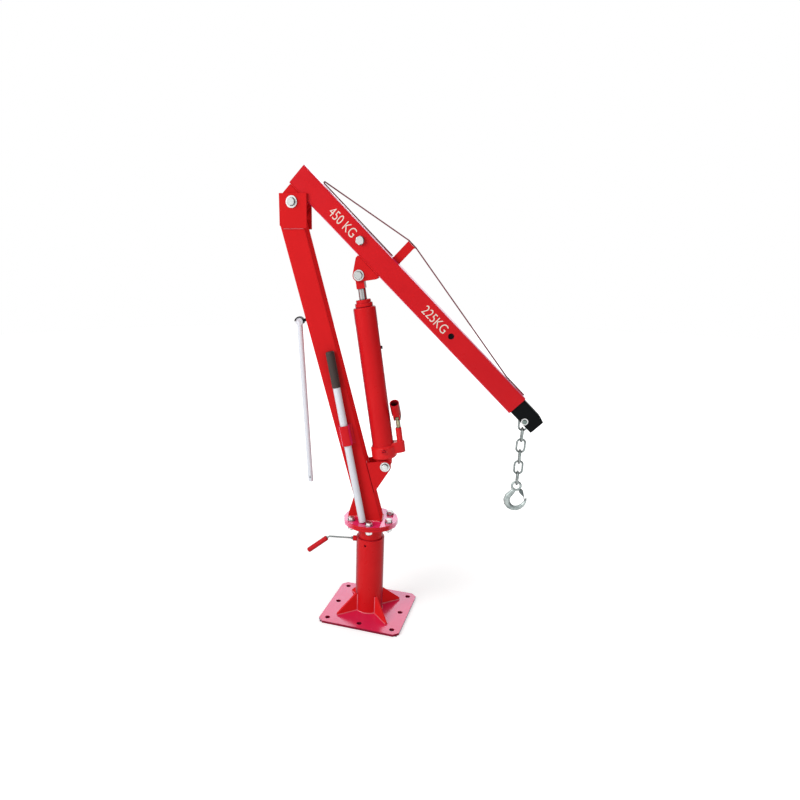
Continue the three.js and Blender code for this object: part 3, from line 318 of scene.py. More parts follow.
def add_piece(name, mesh, material, body, stands_for=()):
    """Puts a finished mesh on the crane."""
    mesh.materials.clear()
    mesh.materials.append(material)
    piece = bpy.data.objects.new(name, mesh)
    bpy.context.scene.collection.objects.link(piece)
    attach(piece, body)
    if stands_for:
        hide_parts(*stands_for)
    return piece


def merged_copy(node):
    """The CAD node's surface with its loose triangles joined and its flat faces made whole."""
    shape = bmesh.new()
    shape.from_mesh(NODES[node].data)
    bmesh.ops.remove_doubles(shape, verts=shape.verts, dist=MERGE_DISTANCE)
    bmesh.ops.dissolve_limit(shape, angle_limit=FLAT_ANGLE, verts=shape.verts, edges=shape.edges)
    return shape


def mesh_from(shape, name):
    """Turns a shape into a smooth-shaded mesh."""
    mesh = bpy.data.meshes.new(name)
    shape.to_mesh(mesh)
    shape.free()
    mesh.shade_smooth()
    return mesh


def round_edges(piece, width, segments):
    """Rounds the hard edges and keeps the flat faces flat."""
    bevel = piece.modifiers.new("Rounded edges", "BEVEL")
    bevel.width = width
    bevel.segments = segments
    bevel.limit_method = "ANGLE"
    bevel.angle_limit = EDGE_ANGLE
    bevel.miter_outer = "MITER_ARC"
    bevel.use_clamp_overlap = True
    normals = piece.modifiers.new("Flat faces", "WEIGHTED_NORMAL")
    normals.keep_sharp = False
    normals.weight = 80


def dress(node, material, rounding=None, segments=2):
    """Replaces a CAD node by a copy with rounded edges and a finish."""
    body = NODES[node]["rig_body"]
    mesh = mesh_from(merged_copy(node), node)
    piece = add_piece(f"{node}_dressed", mesh, material, body, (node,))
    width = sizes().rounding if rounding is None else rounding
    round_edges(piece, width, segments)


def bake_modifiers(piece):
    """Makes the modified shape the piece's own plain mesh."""
    bpy.context.view_layer.update()
    graph = bpy.context.evaluated_depsgraph_get()
    mesh = bpy.data.meshes.new_from_object(piece.evaluated_get(graph))
    bpy.data.objects.remove(piece)
    return mesh


def grained(shape, name, cell, passes):
    """Gives a shape the soft edges and blended joints of a casting or a forging."""
    holder = bpy.data.objects.new(name, mesh_from(shape, name))
    bpy.context.scene.collection.objects.link(holder)
    remesh = holder.modifiers.new("Grain", "REMESH")
    remesh.mode = "VOXEL"
    remesh.voxel_size = cell
    remesh.use_smooth_shade = True
    smooth = holder.modifiers.new("Soft edges", "SMOOTH")
    smooth.factor = 0.5
    smooth.iterations = passes
    mesh = bake_modifiers(holder)
    mesh.shade_smooth()
    return mesh


def polar(radius, angle, height):
    """A point by its distance and its angle about Z."""
    return Vector((radius * math.cos(angle), radius * math.sin(angle), height))


def lathe(shape, profile, sides):
    """Turns (radius, height) points about Z. A profile that ends where it starts is closed."""
    closed = profile[0] == profile[-1]
    rows = profile[:-1] if closed else profile
    rings = []
    for radius, height in rows:
        angles = [2 * math.pi * k / sides for k in range(sides if radius > 0 else 1)]
        rings.append([shape.verts.new(polar(radius, angle, height)) for angle in angles])
    pairs = list(zip(rings, rings[1:]))
    if closed:
        pairs.append((rings[-1], rings[0]))
    for low, high in pairs:
        skin(shape, low, high)
    return rings


def skin(shape, low, high):
    """Joins two rings of points, either of which may be a single point."""
    count = max(len(low), len(high))
    for k in range(count):
        n = (k + 1) % count
        corners = [low[k % len(low)], low[n % len(low)], high[n % len(high)], high[k % len(high)]]
        unique = list(dict.fromkeys(corners))
        if len(unique) >= 3:
            shape.faces.new(unique)


def face_outwards(shape):
    """Turns all faces of a closed shape outwards."""
    bmesh.ops.recalc_face_normals(shape, faces=shape.faces)
    return shape


# Geometry node trees

BEAD_SIDES = 10
BEAD_STEPS = 5.0
BEAD_GRAIN = 120.0
ROD_SIDES = 20
BEND_STEPS = 14
LINK_SIDES = 16
LINK_STEPS = 96
JOINT_PLACE = 0.36
JOINT_SHARPNESS = 45.0
SWELL_BASE = 2.718
HEX_TURN = math.pi / 3
GROUND_BEAD = {"Ripple Depth": 0.03, "Unevenness": 0.05}


def set_inputs(modifier, values):
    """Sets a tree's inputs by the identifiers of their sockets."""
    for item in modifier.node_group.interface.items_tree:
        if item.item_type == "SOCKET" and item.in_out == "INPUT" and item.name in values:
            modifier[item.identifier] = values[item.name]


def new_tree(name, inputs):
    """A geometry node tree with named inputs, each (name, socket kind, default)."""
    tree = bpy.data.node_groups.new(name, "GeometryNodeTree")
    tree.interface.new_socket("Path", in_out="INPUT", socket_type="NodeSocketGeometry")
    for label, kind, default in inputs:
        socket = tree.interface.new_socket(label, in_out="INPUT", socket_type=kind)
        if default is not None:
            socket.default_value = default
    tree.interface.new_socket("Shape", in_out="OUTPUT", socket_type="NodeSocketGeometry")
    return tree


def add_node(tree, kind, settings=None, **links):
    """Adds a node. Each link names an input, by its words or number, and gives a socket or a value."""
    node = tree.nodes.new(kind)
    for key, value in (settings or {}).items():
        setattr(node, key, value)
    for key, value in links.items():
        place = int(key[1:]) if key[0] == "i" and key[1:].isdigit() else key.replace("_", " ")
        socket = node.inputs[place]
        if isinstance(value, bpy.types.NodeSocket):
            tree.links.new(value, socket)
        else:
            socket.default_value = value
    return node


def sums(tree, operation, first, second=0.0):
    """The result of one sum on two sockets or numbers."""
    node = add_node(tree, "ShaderNodeMath", {"operation": operation}, i0=first, i1=second)
    return node.outputs[0]


def sweep_end(tree, curve, radius, sides, material, scale=None):
    """The last nodes of a swept shape: round section, smooth shading, finish and output."""
    section = add_node(tree, "GeometryNodeCurvePrimitiveCircle", Resolution=sides, Radius=radius)
    sweep = add_node(
        tree, "GeometryNodeCurveToMesh", i0=curve, i1=section.outputs["Curve"], Fill_Caps=True
    )
    if scale is not None:
        tree.links.new(scale, sweep.inputs["Scale"])
    smooth = add_node(tree, "GeometryNodeSetShadeSmooth", i0=sweep.outputs[0])
    real = add_node(tree, "GeometryNodeRealizeInstances", i0=smooth.outputs[0])
    painted = add_node(tree, "GeometryNodeSetMaterial", i0=real.outputs[0], Material=material)
    add_node(tree, "NodeGroupOutput", i0=painted.outputs[0])


def weld_tree():
    """Weld bead: the path is swept by a round section that steps in and out like a row of coins."""
    if "Weld bead" in bpy.data.node_groups:
        return bpy.data.node_groups["Weld bead"]
    tree = new_tree(
        "Weld bead",
        [
            ("Bead Radius", "NodeSocketFloat", 0.002),
            ("Ripple", "NodeSocketFloat", 0.0027),
            ("Ripple Depth", "NodeSocketFloat", 0.2),
            ("Unevenness", "NodeSocketFloat", 0.25),
            ("Seed", "NodeSocketFloat", 1.0),
            ("Finish", "NodeSocketMaterial", None),
        ],
    )
    given = tree.nodes.new("NodeGroupInput")
    curve = add_node(tree, "GeometryNodeMeshToCurve", i0=given.outputs["Path"])
    step = sums(tree, "DIVIDE", given.outputs["Ripple"], BEAD_STEPS)
    fine = add_node(
        tree, "GeometryNodeResampleCurve", {"mode": "LENGTH"}, i0=curve.outputs[0], Length=step
    )
    along = tree.nodes.new("GeometryNodeSplineParameter")
    cycle = sums(tree, "FRACT", sums(tree, "DIVIDE", along.outputs["Length"], given.outputs["Ripple"]))
    ripple = sums(tree, "MULTIPLY", cycle, given.outputs["Ripple Depth"])
    place = tree.nodes.new("GeometryNodeInputPosition")
    noise = add_node(
        tree,
        "ShaderNodeTexNoise",
        {"noise_dimensions": "4D"},
        Vector=place.outputs[0],
        W=given.outputs["Seed"],
        Scale=BEAD_GRAIN,
    )
    centred = sums(tree, "SUBTRACT", noise.outputs["Fac"], 0.5)
    uneven = sums(tree, "MULTIPLY", centred, given.outputs["Unevenness"])
    scale = sums(tree, "ADD", sums(tree, "SUBTRACT", 1.0, ripple), uneven)
    radius = given.outputs["Bead Radius"]
    sweep_end(tree, fine.outputs[0], radius, BEAD_SIDES, given.outputs["Finish"], scale)
    return tree


def rod_tree():
    """Bent rod: the path's corners are rounded and it is swept by a round section."""
    if "Bent rod" in bpy.data.node_groups:
        return bpy.data.node_groups["Bent rod"]
    tree = new_tree(
        "Bent rod",
        [
            ("Radius", "NodeSocketFloat", 0.003),
            ("Bend Radius", "NodeSocketFloat", 0.005),
            ("Finish", "NodeSocketMaterial", None),
        ],
    )
    given = tree.nodes.new("NodeGroupInput")
    curve = add_node(tree, "GeometryNodeMeshToCurve", i0=given.outputs["Path"])
    bends = add_node(
        tree,
        "GeometryNodeFilletCurve",
        {"mode": "POLY"},
        i0=curve.outputs[0],
        Count=BEND_STEPS,
        Radius=given.outputs["Bend Radius"],
        Limit_Radius=True,
    )
    sweep_end(tree, bends.outputs[0], given.outputs["Radius"], ROD_SIDES, given.outputs["Finish"])
    return tree


def link_tree():
    """Chain link: a rounded rectangle of wire with the swelling of its welded joint."""
    if "Chain link" in bpy.data.node_groups:
        return bpy.data.node_groups["Chain link"]
    tree = new_tree(
        "Chain link",
        [
            ("Wire Radius", "NodeSocketFloat", 0.003),
            ("Width", "NodeSocketFloat", 0.023),
            ("Length", "NodeSocketFloat", 0.0395),
            ("Weld Swell", "NodeSocketFloat", 0.1),
            ("Finish", "NodeSocketMaterial", None),
        ],
    )
    given = tree.nodes.new("NodeGroupInput")
    outline = add_node(
        tree,
        "GeometryNodeCurvePrimitiveQuadrilateral",
        Width=given.outputs["Width"],
        Height=given.outputs["Length"],
    )
    rounds = add_node(
        tree,
        "GeometryNodeFilletCurve",
        {"mode": "POLY"},
        i0=outline.outputs[0],
        Count=BEND_STEPS,
        Radius=sums(tree, "DIVIDE", given.outputs["Width"], 2.001),
        Limit_Radius=True,
    )
    fine = add_node(tree, "GeometryNodeResampleCurve", i0=rounds.outputs[0], Count=LINK_STEPS)
    along = tree.nodes.new("GeometryNodeSplineParameter")
    off = sums(tree, "SUBTRACT", along.outputs["Factor"], JOINT_PLACE)
    sharp = sums(tree, "MULTIPLY", off, JOINT_SHARPNESS)
    fall = sums(tree, "MULTIPLY", sums(tree, "MULTIPLY", sharp, sharp), -1.0)
    swell = sums(tree, "POWER", SWELL_BASE, fall)
    scale = sums(tree, "ADD", 1.0, sums(tree, "MULTIPLY", swell, given.outputs["Weld Swell"]))
    radius = given.outputs["Wire Radius"]
    sweep_end(tree, fine.outputs[0], radius, LINK_SIDES, given.outputs["Finish"], scale)
    return tree


def bolt_ring_tree():
    """Bolt ring: copies of a bolt stand on the points of a circle, each turned by its own angle."""
    if "Bolt ring" in bpy.data.node_groups:
        return bpy.data.node_groups["Bolt ring"]
    tree = new_tree(
        "Bolt ring",
        [
            ("Bolt", "NodeSocketObject", None),
            ("Count", "NodeSocketInt", 6),
            ("Circle Radius", "NodeSocketFloat", 0.065),
            ("First Angle", "NodeSocketFloat", math.radians(30)),
            ("Seed", "NodeSocketInt", 3),
            ("Finish", "NodeSocketMaterial", None),
        ],
    )
    given = tree.nodes.new("NodeGroupInput")
    circle = add_node(
        tree,
        "GeometryNodeMeshCircle",
        Vertices=given.outputs["Count"],
        Radius=given.outputs["Circle Radius"],
    )
    turn = add_node(tree, "ShaderNodeCombineXYZ", Z=given.outputs["First Angle"])
    turned = add_node(tree, "GeometryNodeTransform", Geometry=circle.outputs[0])
    tree.links.new(turn.outputs[0], turned.inputs["Rotation"])
    bolt = add_node(tree, "GeometryNodeObjectInfo", Object=given.outputs["Bolt"])
    spin = add_node(tree, "FunctionNodeRandomValue", {"data_type": "FLOAT"}, Seed=given.outputs["Seed"])
    angle = sums(tree, "MULTIPLY", spin.outputs["Value"], HEX_TURN)
    around = add_node(tree, "ShaderNodeCombineXYZ", Z=angle)
    rows = add_node(
        tree, "GeometryNodeInstanceOnPoints", i0=turned.outputs[0], Instance=bolt.outputs["Geometry"]
    )
    tree.links.new(around.outputs[0], rows.inputs["Rotation"])
    real = add_node(tree, "GeometryNodeRealizeInstances", i0=rows.outputs[0])
    painted = add_node(
        tree, "GeometryNodeSetMaterial", i0=real.outputs[0], Material=given.outputs["Finish"]
    )
    add_node(tree, "NodeGroupOutput", i0=painted.outputs[0])
    return tree


def run_tree(name, tree, values, paths=()):
    """Runs a tree over polylines, each (points, closed), and gives its result as a plain mesh."""
    mesh = bpy.data.meshes.new(name)
    points, edges = [], []
    for line, closed in paths:
        first = len(points)
        points += [tuple(p) for p in line]
        edges += [(first + i, first + i + 1) for i in range(len(line) - 1)]
        if closed:
            edges.append((first + len(line) - 1, first))
    mesh.from_pydata(points, edges, [])
    holder = bpy.data.objects.new(name, mesh)
    bpy.context.scene.collection.objects.link(holder)
    modifier = holder.modifiers.new(name, "NODES")
    modifier.node_group = tree
    set_inputs(modifier, values)
    return bake_modifiers(holder)


def circle_path(height, radius, matrix=Matrix(), steps=96):
    """A closed path round a matrix's Z axis."""
    angles = [2 * math.pi * i / steps for i in range(steps)]
    return [matrix @ polar(radius, angle, height) for angle in angles], True


def add_welds(name, body, paths, radius, seed, ground=False):
    """Weld beads along seams of one body, rippled or ground flush."""
    paint = round_red_paint() if ground else bead_paint()
    values = {"Bead Radius": radius, "Ripple": sizes().ripple, "Seed": seed, "Finish": paint}
    if ground:
        values.update(GROUND_BEAD)
    mesh = run_tree(name, weld_tree(), values, paths)
    add_piece(name, mesh, paint, body)


# Shader node groups

SURFACE = (("Color", "NodeSocketColor"), ("Roughness", "NodeSocketFloat"), ("Normal", "NodeSocketVector"))


def new_group(name, inputs, outputs):
    """A shader node group with named inputs and outputs."""
    group = bpy.data.node_groups.new(name, "ShaderNodeTree")
    for label, kind, default in inputs:
        socket = group.interface.new_socket(label, in_out="INPUT", socket_type=kind)
        if default is not None:
            socket.default_value = default
    for label, kind in outputs:
        group.interface.new_socket(label, in_out="OUTPUT", socket_type=kind)
    return group


def blend(tree, factor, first, second):
    """Mixes two colours."""
    mix = add_node(tree, "ShaderNodeMix", {"data_type": "RGBA"}, i0=factor, i6=first, i7=second)
    return mix.outputs[2]


def remap(tree, value, low, high, to_low=0.0, to_high=1.0):
    """Stretches a range of values onto another and holds it there."""
    return add_node(
        tree, "ShaderNodeMapRange", {"clamp": True}, i0=value, i1=low, i2=high, i3=to_low, i4=to_high
    ).outputs[0]


def noise(tree, scale, detail, roughness=0.5):
    """Even noise fixed to the piece."""
    place = tree.nodes.new("ShaderNodeTexCoord")
    return add_node(
        tree,
        "ShaderNodeTexNoise",
        Vector=place.outputs["Object"],
        Scale=scale,
        Detail=detail,
        Roughness=roughness,
    ).outputs["Fac"]


def edge_group():
    """Edge: a mask that is 1 on convex and concave edges of the given width and 0 on flat faces."""
    if "Edge" in bpy.data.node_groups:
        return bpy.data.node_groups["Edge"]
    group = new_group("Edge", [("Width", "NodeSocketFloat", 0.001)], [("Mask", "NodeSocketFloat")])
    given = group.nodes.new("NodeGroupInput")
    rounded = add_node(group, "ShaderNodeBevel", {"samples": 4}, Radius=given.outputs["Width"])
    face = group.nodes.new("ShaderNodeNewGeometry")
    agree = add_node(
        group,
        "ShaderNodeVectorMath",
        {"operation": "DOT_PRODUCT"},
        i0=rounded.outputs[0],
        i1=face.outputs["Normal"],
    )
    mask = remap(group, agree.outputs["Value"], low=0.995, high=0.86)
    add_node(group, "NodeGroupOutput", i0=mask)
    return group


def crevice_shade(tree, width, start=0.62, end=0.12):
    """A mask of painted shade: 1 deep in gaps, bores and corners and 0 in the open."""
    around = add_node(tree, "ShaderNodeAmbientOcclusion", {"samples": 6}, Distance=width)
    return remap(tree, around.outputs["AO"], start, end)


def paint_group():
    """Paint film: orange peel, a slightly uneven tone, darker edges and painted shade in crevices."""
    if "Paint film" in bpy.data.node_groups:
        return bpy.data.node_groups["Paint film"]
    group = new_group(
        "Paint film",
        [
            ("Color", "NodeSocketColor", (0.7, 0.02, 0.02, 1)),
            ("Deep Color", "NodeSocketColor", (0.55, 0.01, 0.01, 1)),
            ("Edge Color", "NodeSocketColor", (0.8, 0.05, 0.05, 1)),
            ("Crevice Color", "NodeSocketColor", (0.05, 0.005, 0.01, 1)),
            ("Edge Width", "NodeSocketFloat", 0.001),
            ("Contact", "NodeSocketFloat", 0.006),
            ("Peel Size", "NodeSocketFloat", 0.0035),
            ("Peel Depth", "NodeSocketFloat", 0.00004),
            ("Roughness", "NodeSocketFloat", 0.3),
        ],
        SURFACE,
    )
    given = group.nodes.new("NodeGroupInput")
    tone = remap(group, noise(group, scale=9.0, detail=3.0), low=0.35, high=0.7)
    patchy = sums(group, "MULTIPLY", tone, 0.45)
    body = blend(group, patchy, given.outputs["Color"], given.outputs["Deep Color"])
    edge = add_node(group, "ShaderNodeGroup", {"node_tree": edge_group()}, Width=given.outputs["Edge Width"])
    broken = remap(group, noise(group, scale=90.0, detail=3.0, roughness=0.6), low=0.3, high=0.6, to_low=0.35)
    mask = sums(group, "MULTIPLY", edge.outputs["Mask"], broken)
    edged = blend(group, mask, body, given.outputs["Edge Color"])
    # Painted shade: the colour darkens towards the crevice colour deep in gaps and corners.
    painted_shade = crevice_shade(group, given.outputs["Contact"])
    tinted = blend(group, painted_shade, edged, given.outputs["Crevice Color"])
    size = sums(group, "DIVIDE", 1.0, given.outputs["Peel Size"])
    place = group.nodes.new("ShaderNodeTexCoord")
    peel = add_node(
        group, "ShaderNodeTexNoise", Vector=place.outputs["Object"], Scale=size, Detail=1.0, Roughness=0.4
    )
    bump = add_node(
        group,
        "ShaderNodeBump",
        Strength=0.5,
        Distance=given.outputs["Peel Depth"],
        Height=peel.outputs["Fac"],
    )
    cloud = noise(group, scale=26.0, detail=4.0, roughness=0.6)
    smears = remap(group, cloud, low=0.3, high=0.7, to_low=-0.05, to_high=0.07)
    rough = sums(group, "ADD", given.outputs["Roughness"], smears)
    add_node(group, "NodeGroupOutput", i0=tinted, i1=rough, i2=bump.outputs[0])
    return group


def plating_group():
    """Plating: bright and dull patches, fine scratches, edges in a colour of their own (bright where worn on
    the chain, dark as painted shade on zinc), and painted shade in crevices.
    """
    if "Plating" in bpy.data.node_groups:
        return bpy.data.node_groups["Plating"]
    group = new_group(
        "Plating",
        [
            ("Color", "NodeSocketColor", (0.7, 0.7, 0.7, 1)),
            ("Dull Color", "NodeSocketColor", (0.5, 0.5, 0.5, 1)),
            ("Edge Color", "NodeSocketColor", (0.9, 0.9, 0.9, 1)),
            ("Crevice Color", "NodeSocketColor", (0.02, 0.02, 0.02, 1)),
            ("Edge Width", "NodeSocketFloat", 0.0007),
            ("Contact", "NodeSocketFloat", 0.006),
            ("Patch Scale", "NodeSocketFloat", 120.0),
            ("Grain Scale", "NodeSocketFloat", 900.0),
            ("Grain Depth", "NodeSocketFloat", 0.00002),
            ("Roughness", "NodeSocketFloat", 0.3),
        ],
        SURFACE,
    )
    given = group.nodes.new("NodeGroupInput")
    place = group.nodes.new("ShaderNodeTexCoord")
    patches = add_node(
        group,
        "ShaderNodeTexNoise",
        Vector=place.outputs["Object"],
        Scale=given.outputs["Patch Scale"],
        Detail=4.0,
        Roughness=0.6,
    )
    tone = remap(group, patches.outputs["Fac"], low=0.35, high=0.65)
    body = blend(group, tone, given.outputs["Color"], given.outputs["Dull Color"])
    edge = add_node(group, "ShaderNodeGroup", {"node_tree": edge_group()}, Width=given.outputs["Edge Width"])
    # The edge colour: bright wear on the chain, painted shade on zinc.
    worn = sums(group, "MULTIPLY", edge.outputs["Mask"], 0.7)
    edged = blend(group, worn, body, given.outputs["Edge Color"])
    # Painted shade: the colour darkens towards the crevice colour deep in gaps and corners.
    painted_shade = crevice_shade(group, given.outputs["Contact"], start=0.9, end=0.42)
    tinted = blend(group, painted_shade, edged, given.outputs["Crevice Color"])
    grain = add_node(
        group,
        "ShaderNodeTexNoise",
        Vector=place.outputs["Object"],
        Scale=given.outputs["Grain Scale"],
        Detail=2.0,
    )
    bump = add_node(
        group,
        "ShaderNodeBump",
        Strength=0.6,
        Distance=given.outputs["Grain Depth"],
        Height=grain.outputs["Fac"],
    )
    rough = sums(group, "ADD", given.outputs["Roughness"], sums(group, "MULTIPLY", tone, 0.12))
    add_node(group, "NodeGroupOutput", i0=tinted, i1=rough, i2=bump.outputs[0])
    return group


def moulding_group():
    """Moulding: the fine grain and uneven sheen of rubber and vinyl."""
    if "Moulding" in bpy.data.node_groups:
        return bpy.data.node_groups["Moulding"]
    group = new_group(
        "Moulding",
        [
            ("Color", "NodeSocketColor", (0.03, 0.03, 0.03, 1)),
            ("Worn Color", "NodeSocketColor", (0.08, 0.08, 0.08, 1)),
            ("Grain Size", "NodeSocketFloat", 0.0006),
            ("Grain Depth", "NodeSocketFloat", 0.00008),
            ("Roughness", "NodeSocketFloat", 0.6),
        ],
        SURFACE,
    )
    given = group.nodes.new("NodeGroupInput")
    worn = remap(group, noise(group, scale=60.0, detail=4.0, roughness=0.65), low=0.5, high=0.75)
    tinted = blend(group, worn, given.outputs["Color"], given.outputs["Worn Color"])
    place = group.nodes.new("ShaderNodeTexCoord")
    grain = add_node(
        group,
        "ShaderNodeTexVoronoi",
        Vector=place.outputs["Object"],
        Scale=sums(group, "DIVIDE", 1.0, given.outputs["Grain Size"]),
    )
    bump = add_node(
        group,
        "ShaderNodeBump",
        Strength=0.5,
        Distance=given.outputs["Grain Depth"],
        Height=grain.outputs["Distance"],
    )
    rough = sums(group, "ADD", given.outputs["Roughness"], sums(group, "MULTIPLY", worn, 0.1))
    add_node(group, "NodeGroupOutput", i0=tinted, i1=rough, i2=bump.outputs[0])
    return group


# Finishes

# Facing ranges of the painted reflection and of the painted rim colour, and the specular range at a slant.
SLANT = (0.3, 0.65)
SLANT_SPECULAR = (0.06, 1.0)
RIM = (0.4, 0.9)


def rgba(values):
    """A colour with an alpha of 1."""
    return (*values, 1.0)


def new_finish(name, group, inputs, painted_glare=None, painted_rim=None, **shader):
    """A material whose colour, roughness and normal come from a node group.

    A painted glare colour is a painted reflection of the bright room, mixed into the base colour where the
    finish is seen almost along its face; there the specular rises and the roughness falls too.
    A painted rim colour tints the sides seen at a slant instead: painted shade on round pieces, metals and
    grips, painted light on the mast, lugs and gussets.
    """
    if name in bpy.data.materials:
        return bpy.data.materials[name]
    material = bpy.data.materials.new(name)
    material.use_nodes = True
    tree = material.node_tree
    principled = tree.nodes["Principled BSDF"]
    surface = add_node(tree, "ShaderNodeGroup", {"node_tree": group}, **inputs)
    seen_colour = surface.outputs["Color"]
    rough = surface.outputs["Roughness"]
    view = add_node(tree, "ShaderNodeLayerWeight", Blend=0.5)
    if painted_glare is not None:
        # Painted reflection: the colour turns to the glare colour at a slant.
        slant = remap(tree, view.outputs["Facing"], *SLANT)
        seen_colour = blend(tree, slant, seen_colour, rgba(painted_glare))
        smooth = finish().glancing_roughness
        rough = add_node(tree, "ShaderNodeMix", i0=slant, i2=rough, i3=smooth).outputs[0]
        specular = remap(tree, slant, 0.0, 1.0, *SLANT_SPECULAR)
        tree.links.new(specular, principled.inputs["Specular IOR Level"])
    if painted_rim is not None:
        # The sides seen at a slant take the rim colour: painted shade on round pieces, painted light on the
        # mast and gussets.
        slant = remap(tree, view.outputs["Facing"], *RIM)
        seen_colour = blend(tree, slant, seen_colour, rgba(painted_rim))
    tree.links.new(seen_colour, principled.inputs["Base Color"])
    tree.links.new(rough, principled.inputs["Roughness"])
    tree.links.new(surface.outputs["Normal"], principled.inputs["Normal"])
    for key, value in shader.items():
        principled.inputs[key.replace("_", " ")].default_value = value
    material.diffuse_color = inputs["Color"]
    return material


def film(body, deep, edge, crevice, **values):
    """Inputs of the paint film, with its four colours."""
    look = finish()
    return {
        "Color": rgba(body),
        "Deep_Color": rgba(deep),
        "Edge_Color": rgba(edge),
        "Crevice_Color": rgba(crevice),
        "Edge_Width": look.edge_width,
        "Contact": look.contact,
        "Peel_Size": look.peel_size,
        "Peel_Depth": look.peel_depth,
        "Roughness": look.paint_roughness,
        **values,
    }


def shade(values, by):
    """A colour made darker or lighter."""
    return [by * value for value in values]


def red_film(**values):
    """Inputs of the red paint film."""
    look = finish()
    return film(look.red, look.deep_red, look.edge_and_shade_red, look.crevice_shade_red, **values)


def red_paint():
    """Red paint on plates and square tubes, with a painted reflection of the bright room where their flat
    faces are seen at a slant.
    """
    return new_finish(
        "Red paint",
        paint_group(),
        red_film(),
        painted_glare=finish().painted_glare_red,
        Specular_Tint=rgba(finish().glance),
        IOR=1.95,
    )


def mast_paint():
    """The same paint on the mast and the lugs, with a painted sheen in its colour and painted light on the
    sides, which face the dark end of the room.
    """
    look = finish()
    body = film(look.mast_sheen_red, shade(look.mast_sheen_red, 0.92), look.edge_and_shade_red, look.crevice_shade_red)
    return new_finish(
        "Red paint on the mast", paint_group(), body, painted_rim=shade(look.mast_sheen_red, 1.2), Specular_IOR_Level=0.0
    )


def gusset_paint():
    """The same paint on the base gussets, lightened as painted light from the plate around them, with painted
    highlights on their edges and painted light on their sides.
    """
    look = finish()
    body = film(shade(look.mast_sheen_red, 1.2), look.mast_sheen_red, look.bead_highlight_red, look.crevice_shade_red)
    return new_finish(
        "Red paint on the gussets",
        paint_group(),
        body,
        painted_rim=shade(look.mast_sheen_red, 1.2),
        Specular_IOR_Level=0.02,
    )


def plate_paint():
    """The same paint on the base plate, with painted shade on its cut sides."""
    name = "Red paint on the base plate"
    if name in bpy.data.materials:
        return bpy.data.materials[name]
    material = red_paint().copy()
    material.name = name
    tree = material.node_tree
    colour_link = tree.nodes["Principled BSDF"].inputs["Base Color"].links[0]
    face = tree.nodes.new("ShaderNodeNewGeometry")
    way = add_node(tree, "ShaderNodeSeparateXYZ", i0=face.outputs["Normal"])
    # Painted shade: upright faces turn to the darker red.
    cut = remap(tree, sums(tree, "ABSOLUTE", way.outputs["Z"]), low=0.8, high=0.4)
    side_shaded = blend(tree, cut, colour_link.from_socket, rgba(finish().edge_and_shade_red))
    tree.links.new(side_shaded, tree.nodes["Principled BSDF"].inputs["Base Color"])
    return material


def round_red_paint():
    """The same paint on round pieces, with painted shade on their sides, which turn away into the dark of the
    room.
    """
    return new_finish(
        "Red paint on rounds", paint_group(), red_film(), painted_rim=finish().edge_and_shade_red, Specular_IOR_Level=0.1
    )


def socket_paint():
    """The same paint on the pump's lever, with painted shade on its sides and in its deep socket, where it
    turns black.
    """
    return new_finish(
        "Red paint on the lever",
        paint_group(),
        red_film(Contact=0.03, Edge_Width=0.0026),
        painted_rim=finish().crevice_shade_red,
        Specular_IOR_Level=0.1,
    )


def bead_paint():
    """The same paint on weld beads, lightened as a painted highlight, besides the small highlights that their
    coat catches.
    """
    look = finish()
    red = look.bead_highlight_red
    return new_finish(
        "Red paint on beads",
        paint_group(),
        film(red, red, red, look.crevice_shade_red, Edge_Width=0.0002, Contact=0.001),
        Coat_Weight=1.0,
        Coat_Roughness=0.12,
        Coat_IOR=1.8,
        Specular_IOR_Level=0.4,
    )


def rod_paint():
    """The red paint darkened on the thin truss rod, as painted shade."""
    red = finish().rod_shade_red
    return new_finish(
        "Rod paint",
        paint_group(),
        film(red, shade(red, 0.7), red, red, Edge_Width=0.0003, Roughness=0.4),
        Specular_IOR_Level=0.2,
    )


def cast_red_paint():
    """The same paint over the grain of a sand casting, lightened as painted light against the shade under the
    tank, with painted shade on its sides.
    """
    look = finish()
    return new_finish(
        "Red paint on casting",
        paint_group(),
        film(
            shade(look.red, 1.12),
            look.red,
            look.deep_red,
            look.crevice_shade_red,
            Peel_Size=look.peel_size * 0.55,
            Peel_Depth=look.peel_depth * 7,
        ),
        painted_rim=look.red,
        Coat_Weight=0.1,
        Coat_Roughness=0.15,
        Specular_IOR_Level=0.12,
    )


def black_paint():
    """Black paint, lighter along the edges as a painted highlight."""
    look = finish()
    return new_finish(
        "Black paint",
        paint_group(),
        film(look.black, look.black, look.edge_black, look.black, Roughness=0.4),
        Specular_IOR_Level=0.06,
    )


def white_paint():
    """White paint on the handle tubes, with painted shade on their sides and in crevices."""
    white = finish().white
    edge = finish().edge_white
    return new_finish(
        "White paint",
        paint_group(),
        film(white, shade(white, 0.94), edge, shade(white, 0.35), Roughness=0.32),
        painted_rim=shade(white, 0.66),
        Specular_IOR_Level=0.2,
    )


def marking_paint():
    """Pale paint of the load marks."""
    pale = finish().marking
    return new_finish(
        "Marking paint",
        paint_group(),
        film(pale, shade(pale, 0.9), pale, pale, Edge_Width=0.0001, Roughness=0.55),
        Specular_IOR_Level=0.1,
    )


def plated(name, bright, dull, edge, roughness, **values):
    """A plated or bare metal, with painted shade on its sides and in its crevices."""
    look = finish()
    return new_finish(
        name,
        plating_group(),
        {
            "Color": rgba(bright),
            "Dull_Color": rgba(dull),
            "Edge_Color": rgba(edge),
            "Crevice_Color": rgba(shade(dull, 0.06)),
            "Edge_Width": look.edge_width * 0.4,
            "Contact": look.contact * 0.8,
            "Roughness": roughness,
            **values,
        },
        # Painted shade on the sides seen at a slant.
        painted_rim=shade(dull, 0.12),
        Metallic=1.0,
    )


